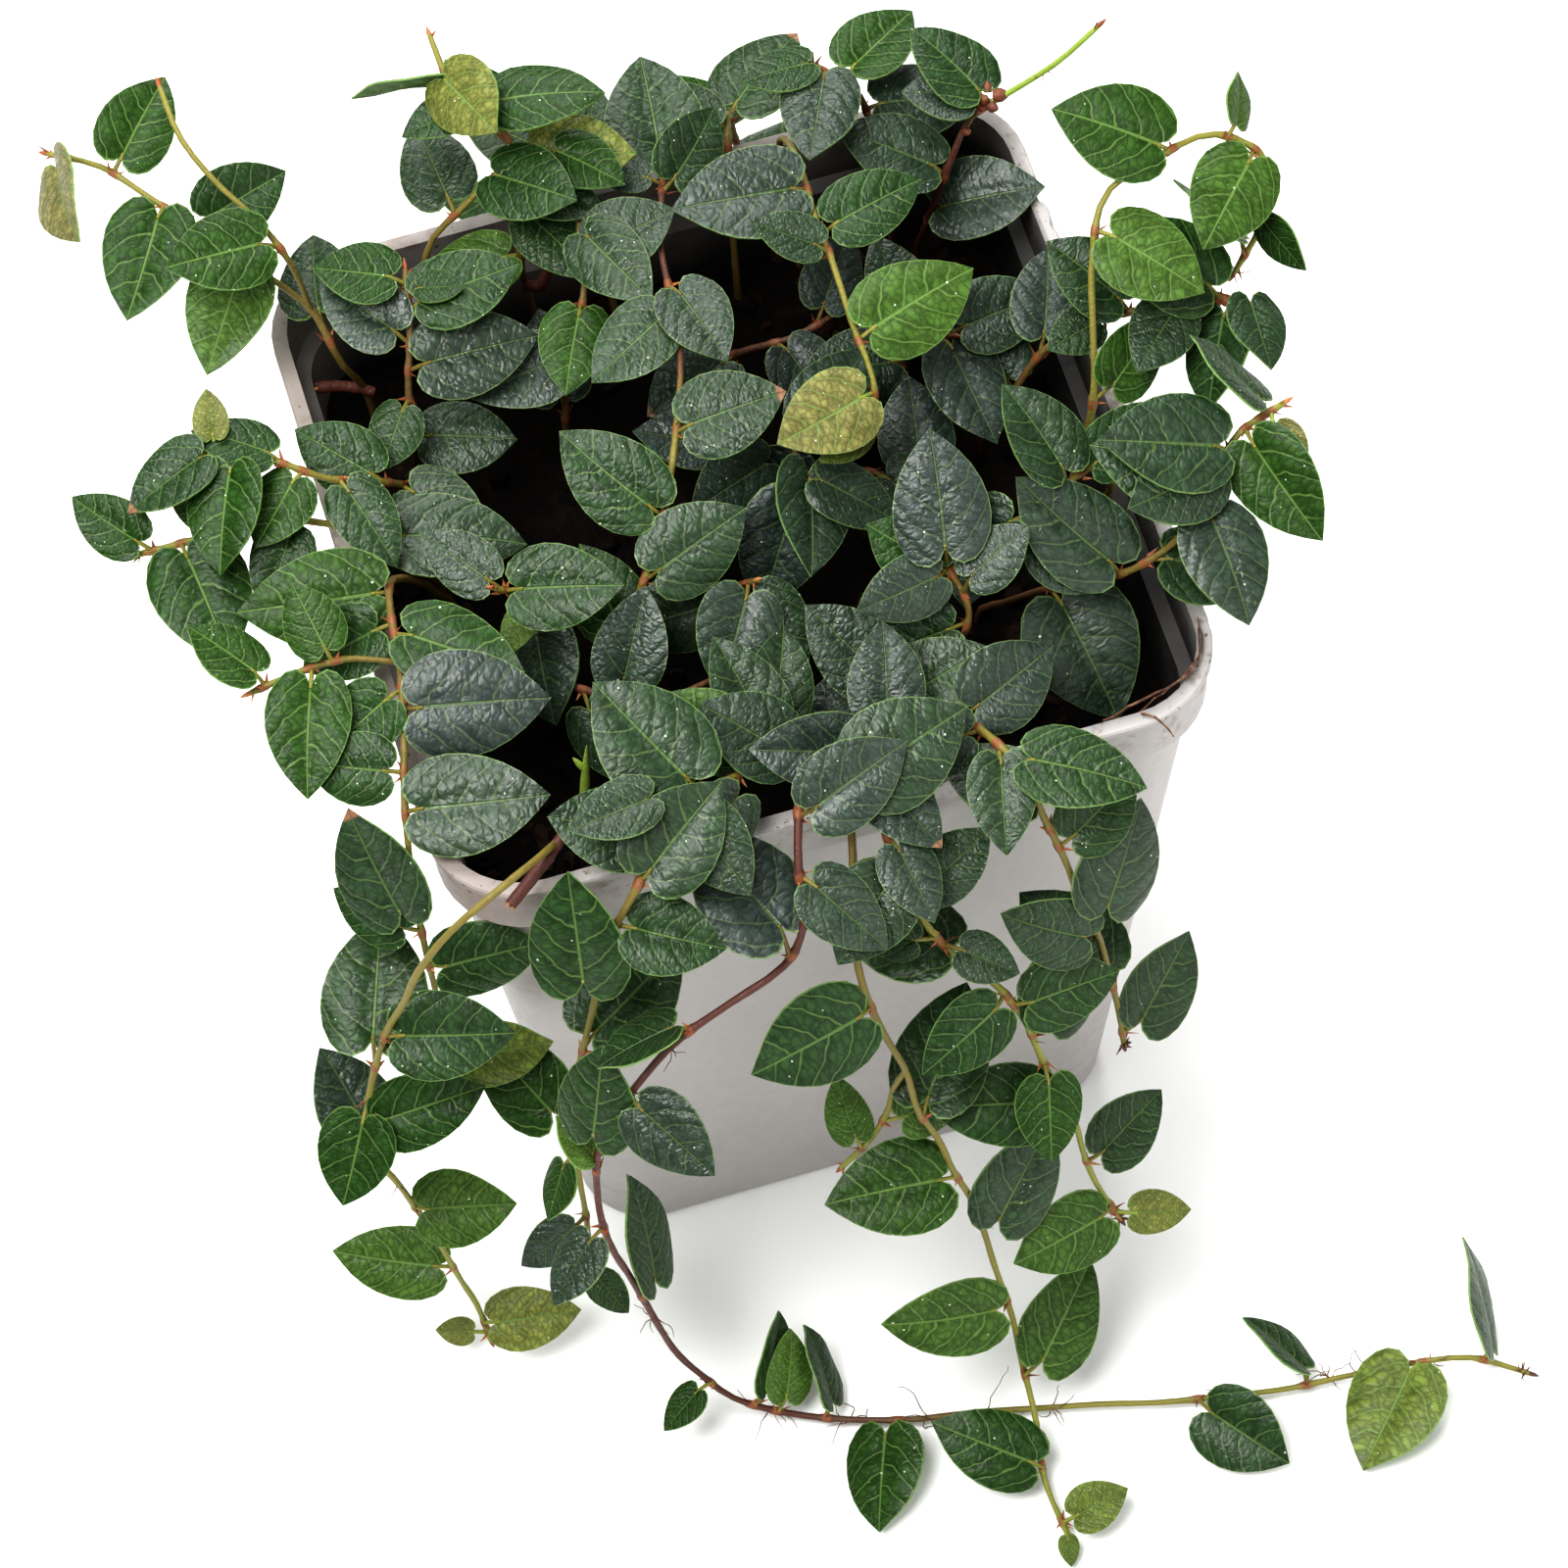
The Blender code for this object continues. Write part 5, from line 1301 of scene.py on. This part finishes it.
# Pull the ring that is selected to a new half width, corner and height
def fitRing(piece, before, after):
    mesh = bmesh.from_edit_mesh(piece.data)
    for vertex in mesh.verts:
        if vertex.select:
            for axis in (0, 1):
                share = (abs(vertex.co[axis]) / metre - before[0] + before[1]) / before[1]
                reach = (after[0] - after[1] + share * after[1]) * metre
                vertex.co[axis] = math.copysign(reach, vertex.co[axis])
            vertex.co.z = after[2] * metre
    bmesh.update_edit_mesh(piece.data)


def cutWith(piece, cutter):
    applyModifier(piece, "BOOLEAN", operation="DIFFERENCE", solver="EXACT", object=cutter)
    bpy.data.objects.remove(cutter)


# A square block with round corners, drawn up ring by ring over the rim and down to the floor inside
def buildPot(material):
    look, rows = potLook, potRows()
    size = rows[0][0] * 2 * metre
    pot = addShape(bpy.ops.mesh.primitive_cube_add, (0, 0, size / 2), size=size)
    pot.name = "pot_shell"
    startEdit("EDGE")
    pick(pot, "EDGE", lambda edge: abs(edge.verts[0].co.z - edge.verts[1].co.z) > metre)
    bpy.ops.mesh.bevel(offset=rows[0][1] * metre, segments=look["cornerSegments"], affect="EDGES")
    pick(pot, "FACE", lambda face: face.normal.z > 0.9)
    fitRing(pot, rows[0], rows[1])
    for before, after in zip(rows[1:], rows[2:]):
        bpy.ops.mesh.extrude_region_move(TRANSFORM_OT_translate={"value": (0, 0, 0)})
        fitRing(pot, before, after)
    endEdit()
    for x, y in corners:
        offset = look["drainOffset"] * metre
        cutWith(pot, addShape(bpy.ops.mesh.primitive_cylinder_add, (x * offset, y * offset, 0),
                              vertices=look["drainSides"], radius=look["drainRadius"] * metre,
                              depth=look["drainDeep"] * metre))
    chance = random.Random(look["biteSeed"])
    for x, y, wide in look["bites"]:
        place = (x * metre, y * metre, (potSize["height"] - look["biteDrop"]) * metre)
        bite = addShape(bpy.ops.mesh.primitive_ico_sphere_add, place, subdivisions=3, radius=wide * metre)
        shift = Vector((chance.uniform(0, 9), chance.uniform(0, 9), 0))
        for vertex in bite.data.vertices:
            vertex.co *= 1 + look["biteRough"] * noise.noise(vertex.co / metre * look["biteGrain"] + shift)
            vertex.co.y *= look["biteLong"]
        cutWith(pot, bite)
    paintInside(pot)
    pot.data.materials.clear()
    pot.data.materials.append(material)
    finishPiece(pot, "pot", "pot", smooth=40)
    applyModifier(pot, "WEIGHTED_NORMAL", weight=80, keep_sharp=True)


# Tone is 1 on the inner wall and the floor of the pot, and 0 outside; the painted shade inside follows it
def paintInside(pot):
    rows = []
    for vertex in pot.data.vertices:
        high = vertex.co.z / metre
        wall = bodyHalf(high)
        flat = wall - potLook["paintCorner"]
        reach = flat + math.hypot(*[max(abs(vertex.co[axis]) / metre - flat, 0) for axis in (0, 1)])
        if high >= potSize["height"] - potSize["collarHeight"]:
            wall = potSize["rimHalf"] - potSize["flangeProud"]
        inside = reach < wall - potSize["wall"] * 0.6 and high > potSize["floor"] - 0.1
        rows.append((float(inside), 0, 0))
    addTone(pot.data, rows)


def buildPotMaterial():
    look = potLook
    material, tree, shader, place = newMaterial("pot_plastic")
    x, y, z = splitVector(tree, place)
    fine = mottle(tree, place, 420.0, 5.0)
    stretched = addNode(tree, "Mapping", {0: place, 3: (30.0, 30.0, 700.0)}).outputs[0]
    scuff = mottle(tree, stretched, 1.0, 4.0, 0.65)
    body = blend(tree, fade(tree, mottle(tree, place, 14.0, 3.0), 0.3, 0.75), look["plastic"], look["dark"])
    # Pale scuffs, strongest at the foot: partly wear and partly painted light that keeps the foot lighter
    footWearAndLight = times(tree, fade(tree, scuff, 0.56, 0.74), fade(tree, z, *look["footWearAndLightSpan"], *look["footWearAndLightShare"]))
    tide = calc(tree, "ABSOLUTE", minus(tree, z, look["tideHigh"]))
    tide = times(tree, fade(tree, tide, *look["tideSpan"], 1.0, 0.0),
                 fade(tree, mottle(tree, place, 40.0, 3.0), 0.42, 0.66), look["tideShare"])
    # Soil splashes and crumbs near the rim
    upper = fade(tree, z, *look["splashSpan"], 0.0, look["splashShare"])
    splash = times(tree, fade(tree, mottle(tree, place, 150.0, 6.0, 0.7), 0.50, 0.66), upper)
    crumbs = times(tree, fade(tree, mottle(tree, place, 640.0, 2.0), 0.66, 0.72), upper)
    # The two sides that the soil has stained most
    stained = calc(tree, "MAXIMUM", fade(tree, x, -0.030, -0.060), fade(tree, y, 0.040, 0.063, 0.0, 0.7))
    grime = times(tree, stained, fade(tree, z, *look["grimeSpan"], 0.0, look["grimeShare"]),
                  fade(tree, mottle(tree, place, 46.0, 5.0, 0.65), 0.25, 0.60, 0.45, 1.0))
    # Painted shade inside the pot: a mottled near-black film on the inner wall, darkest near the soil,
    # reaching higher on the right side and weaker on the left wall
    rising = plus(tree, z, scaled(tree, mottle(tree, place, 55.0, 4.0), 0.016, -0.008))
    rising = minus(tree, rising, fade(tree, x, 0.0, 0.05, 0.0, 0.012))
    film = times(tree, readTone(tree)[0], fade(tree, rising, *look["insideShadeSpan"], *look["insideShadeShare"]),
                 fade(tree, x, -0.061, -0.050, 0.30, 1.0))
    for share, key in ((footWearAndLight, "scuff"), (tide, "tide"), (splash, "stain"), (grime, "grime"),
                       (crumbs, "crumb"), (film, "insideShade")):
        body = blend(tree, share, body, look[key])
    relief = plus(tree, fine, times(tree, scuff, 0.25))
    wire(tree, shader, body, fade(tree, fine, 0.3, 0.7, *look["rough"]), relief, look["deep"])
    return material


soilLook = {
    "cover": 59.6, "corner": 11.5, "cuts": 44, "lift": 1.0, "thick": 2.2,
    # Heaves of the top: height, how close they lie and which part of the noise is read
    "heaves": [(1.6, 0.05, 3), (0.7, 0.28, 7), (0.35, 0.9, 1)],
    "seed": 23, "spread": 58, "uneven": 0.16,
    "crumb": {"count": 260, "size": (0.9, 3.4), "tilt": 1.5, "rise": 0.2, "tone": 0.0},
    "chip": {"count": 34, "size": (2.2, 4.6), "tilt": 0.5, "rise": 0.08, "tone": 1.0},
    "stretch": ((0.7, 1.3), (0.7, 1.3), (0.6, 1.1)),
    "shine": 0.12, "rough": (0.8, 0.98), "deep": 0.0006, "looseShare": 0.7,
    # Moist soil colours, lowered to near black as painted shade of the deep pot as well
    "moistSoilAndShade": [(0.35, (0.003, 0.0022, 0.0018)), (0.6, (0.010, 0.0065, 0.0045)), (0.78, (0.035, 0.020, 0.012))],
    "loose": [(0.0, (0.007, 0.005, 0.004)), (0.5, (0.030, 0.017, 0.011)), (0.85, (0.034, 0.020, 0.013)),
              (1.0, (0.055, 0.037, 0.026))],
}


def soilHeight(x, y):
    height = soilSize["top"] + soilLook["lift"]
    for high, close, part in soilLook["heaves"]:
        height += high * noise.noise(Vector((x * close, y * close, part)))
    return height


# How far a place lies past the straight sides of the cover, along x and y
def pastSides(x, y):
    flat = soilLook["cover"] - soilLook["corner"]
    return flat, max(abs(x) - flat, 0), max(abs(y) - flat, 0)


# Rough top of the soil: a grid pressed into a rounded square, heaved up and thickened
def buildSoilCover(material):
    look = soilLook
    cover = addShape(bpy.ops.mesh.primitive_grid_add, x_subdivisions=look["cuts"],
                     y_subdivisions=look["cuts"], size=look["cover"] * 2 * metre)
    cover.name = "soil_cover"
    for vertex in cover.data.vertices:
        x, y = vertex.co.x / metre, vertex.co.y / metre
        flat, overX, overY = pastSides(x, y)
        if overX > 0 and overY > 0:
            shrink = max(overX, overY) / math.hypot(overX, overY)
            x = math.copysign(flat + overX * shrink, x)
            y = math.copysign(flat + overY * shrink, y)
        vertex.co = Vector((x, y, soilHeight(x, y))) * metre
    applyModifier(cover, "SOLIDIFY", thickness=look["thick"] * metre, offset=-1)
    cover.data.materials.append(material)
    finishPiece(cover, "soil", smooth=60)


# One crumb: a cube split once, rounded and left uneven
def modelCrumb():
    crumb = addShape(bpy.ops.mesh.primitive_cube_add, size=1)
    startEdit("VERT")
    bpy.ops.mesh.select_all(action="SELECT")
    bpy.ops.mesh.subdivide(number_cuts=1, smoothness=0.8)
    endEdit()
    return takeTemplate(crumb)


# One chip of bark: a flat block with its ends drawn out thin
def modelChip():
    chip = addShape(bpy.ops.mesh.primitive_cube_add, size=1)
    startEdit("FACE")
    bpy.ops.transform.resize(value=(1, 0.5, 0.22), center_override=(0, 0, 0))
    pick(chip, "FACE", lambda face: abs(face.normal.x) > 0.9)
    drawOut((0, 0, 0), (1.5, 0.55, 0.5), (0, 0, 0))
    endEdit()
    return takeTemplate(chip)


# Crumbs first and then chips, strewn over the cover
def buildSoilBits(material):
    look, bits = soilLook, newBasket()
    chance = random.Random(look["seed"])
    for kind, (shape, faces) in ((look["crumb"], modelCrumb()), (look["chip"], modelChip())):
        for _ in range(kind["count"]):
            x, y = [chance.uniform(-look["spread"], look["spread"]) for _ in range(2)]
            size = chance.uniform(*kind["size"])
            if math.hypot(*pastSides(abs(x) + size * 0.6, abs(y) + size * 0.6)[1:]) > look["corner"]:
                continue
            turn = Matrix.Rotation(chance.uniform(0, fullTurn), 3, "Z")
            turn = turn @ Matrix.Rotation(chance.uniform(-kind["tilt"], kind["tilt"]), 3, "X")
            stretch = [chance.uniform(*span) for span in look["stretch"]]
            spot = Vector((x, y, soilHeight(x, y) + size * kind["rise"]))
            points = []
            for point in shape:
                uneven = 1 + chance.uniform(-look["uneven"], look["uneven"])
                points.append(spot + turn @ Vector([point[k] * stretch[k] * size * uneven for k in range(3)]))
            addCopy(bits, points, faces, 0, (chance.random() ** 2, chance.random(), kind["tone"]))
    finishPiece(pieceFrom("soil_crumbs", bits, material), "soil", smooth=35)


def buildSoilMaterial(name, loose):
    look = soilLook
    material, tree, shader, place = newMaterial(name, Specular_IOR_Level=look["shine"])
    patch = mottle(tree, place, 240.0, 6.0, 0.7)
    # Dark moist soil, its colour lowered to near black as painted shade inside the pot
    body = colourRamp(tree, patch, look["moistSoilAndShade"])
    if loose:
        body = blend(tree, look["looseShare"], body, colourRamp(tree, readTone(tree)[0], look["loose"]))
    grit = addNode(tree, "TexVoronoi", {"Vector": place, "Scale": 700.0}).outputs["Distance"]
    rough = fade(tree, patch, 0.3, 0.7, *look["rough"])
    wire(tree, shader, body, rough, plus(tree, patch, grit), look["deep"])
    return material


rimRootLook = {
    "routes": [
        [(30, -55, 125), (40, -58.5, 134), (48, -59.5, 143), (54, -59.8, 149.5), (59.5, -58.2, 151.0),
         (62.5, -53.5, 150.9), (63.2, -49, 150.8)],
        [(44, -60, 146), (50, -60.2, 149.8), (56, -59.6, 150.9), (61, -56, 151.2), (62.8, -51, 150.8)],
        [(49, -62.4, 149.2), (50.5, -63.6, 150.6), (52.5, -65.4, 149.0), (53.5, -66.2, 146.5)],
    ],
    "every": 1.6, "thick": 0.26, "taper": 0.5, "wander": 0.15, "sides": 5, "seed": 31,
}


# A few long dead roots that lie over the soil and the front right part of the rim
def buildRimRoots(material):
    look, roots = rimRootLook, newBasket()
    chance = random.Random(look["seed"])
    for route in look["routes"]:
        line, lengths = smoothLine(route)
        count = int(lengths[-1] / look["every"])
        points = [pointAt(line, lengths, lengths[-1] * i / count)
                  + randomStep(chance, -look["wander"], look["wander"]) for i in range(count + 1)]
        radii = [look["thick"] * (1 - look["taper"] * i / count) for i in range(count + 1)]
        addTube(roots, points, radii, look["sides"], 0, (0.3, chance.random(), 0.0))
    finishPiece(pieceFrom("rim_roots", roots, material), "soil", smooth=60)


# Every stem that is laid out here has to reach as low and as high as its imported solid
def checkLayout(plants):
    astray = []
    for name, grown in plants.items():
        meshes = [leafMesh(place, 0.0, True) for stem in grown for place in stem["leaves"]]
        meshes += [tubeMesh(stem["points"], stem["radii"], stemSize["sides"]) for stem in grown]
        heights = [point.z * metre for points, _ in meshes for point in points]
        low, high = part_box(name)
        if abs(min(heights) - low[2]) > metre or abs(max(heights) - high[2]) > metre:
            astray.append(name)
    print("stems that follow the frame:", len(plants) - len(astray), "of", len(plants), *astray)


plants = layoutPlant()
checkLayout(plants)

relief = buildLeafRelief()
materials = {"upper": buildLeafMaterial("leaf_upper_side", relief, False),
             "under": buildLeafMaterial("leaf_under_side", relief, True),
             "bark": buildBarkMaterial(), "scale": buildScaleMaterial(), "hair": buildHairMaterial()}
models = {"blade": modelBlade(), "bud": modelBud(), "scale": modelScale()}
print("materials and templates made")
chance = random.Random(stemLook["seed"])
for name, grown in plants.items():
    buildShoot(name, grown, models, materials, chance)
buildTwigs(materials, models)
print("leafy stems dressed")

buildPot(buildPotMaterial())
soilMaterial = buildSoilMaterial("potting_soil", False)
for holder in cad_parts["soil"].material_slots:
    holder.material = soilMaterial
buildSoilCover(soilMaterial)
buildSoilBits(buildSoilMaterial("soil_bits", True))
buildRimRoots(materials["hair"])
print("pot and soil dressed")


# Floor, light and camera; each light has a name, place, size and power
stageLook = {
    "floor": 5.0, "floorCuts": 8, "floorInk": (0.86, 0.86, 0.855, 1), "sky": 0.37, "aim": (0, 0, 0.09),
    "lights": [("key_light", (-0.50, -0.30, 1.50), 0.75, 24.5), ("fill_light", (0.7, -1.2, 0.7), 1.4, 9.0),
               ("sheen_light", (0.05, 0.85, 1.30), 0.95, 17.0)],
    "cameraPlace": (-0.115916, -0.603041, 1.072696), "cameraRight": (0.95812115, -0.28114223, -0.05443259),
    "cameraUp": (0.26835987, 0.81518076, 0.51328676), "lens": 156.36, "sensor": 36, "clip": 0.05,
}


def buildStage():
    look, scene = stageLook, bpy.context.scene
    floor = addShape(bpy.ops.mesh.primitive_grid_add, x_subdivisions=look["floorCuts"],
                     y_subdivisions=look["floorCuts"], size=look["floor"])
    floor.name = "floor"
    material, _, shader, _ = newMaterial("pale_floor", Roughness=0.7)
    shader.inputs["Base Color"].default_value = look["floorInk"]
    floor.data.materials.append(material)
    for name, place, size, power in look["lights"]:
        bpy.ops.object.light_add(type="AREA", location=place)
        lamp = bpy.context.object
        lamp.name = name
        lamp.data.size = size
        lamp.data.energy = power
        lamp.rotation_euler = (Vector(look["aim"]) - Vector(place)).to_track_quat("-Z", "Y").to_euler()
    scene.world = bpy.data.worlds.new("studio")
    scene.world.use_nodes = True
    sky = scene.world.node_tree.nodes["Background"].inputs
    sky["Color"].default_value = (1, 1, 1, 1)
    sky["Strength"].default_value = look["sky"]
    scene.view_settings.view_transform = "Standard"
    scene.view_settings.look = "High Contrast"
    bpy.ops.object.camera_add(location=look["cameraPlace"])
    camera = bpy.context.object
    right, up = Vector(look["cameraRight"]), Vector(look["cameraUp"])
    camera.rotation_euler = Matrix((right, up, right.cross(up))).transposed().to_euler()
    camera.data.lens = look["lens"]
    camera.data.sensor_width = look["sensor"]
    camera.data.clip_start = look["clip"]
    scene.camera = camera


buildStage()
print("stage set")
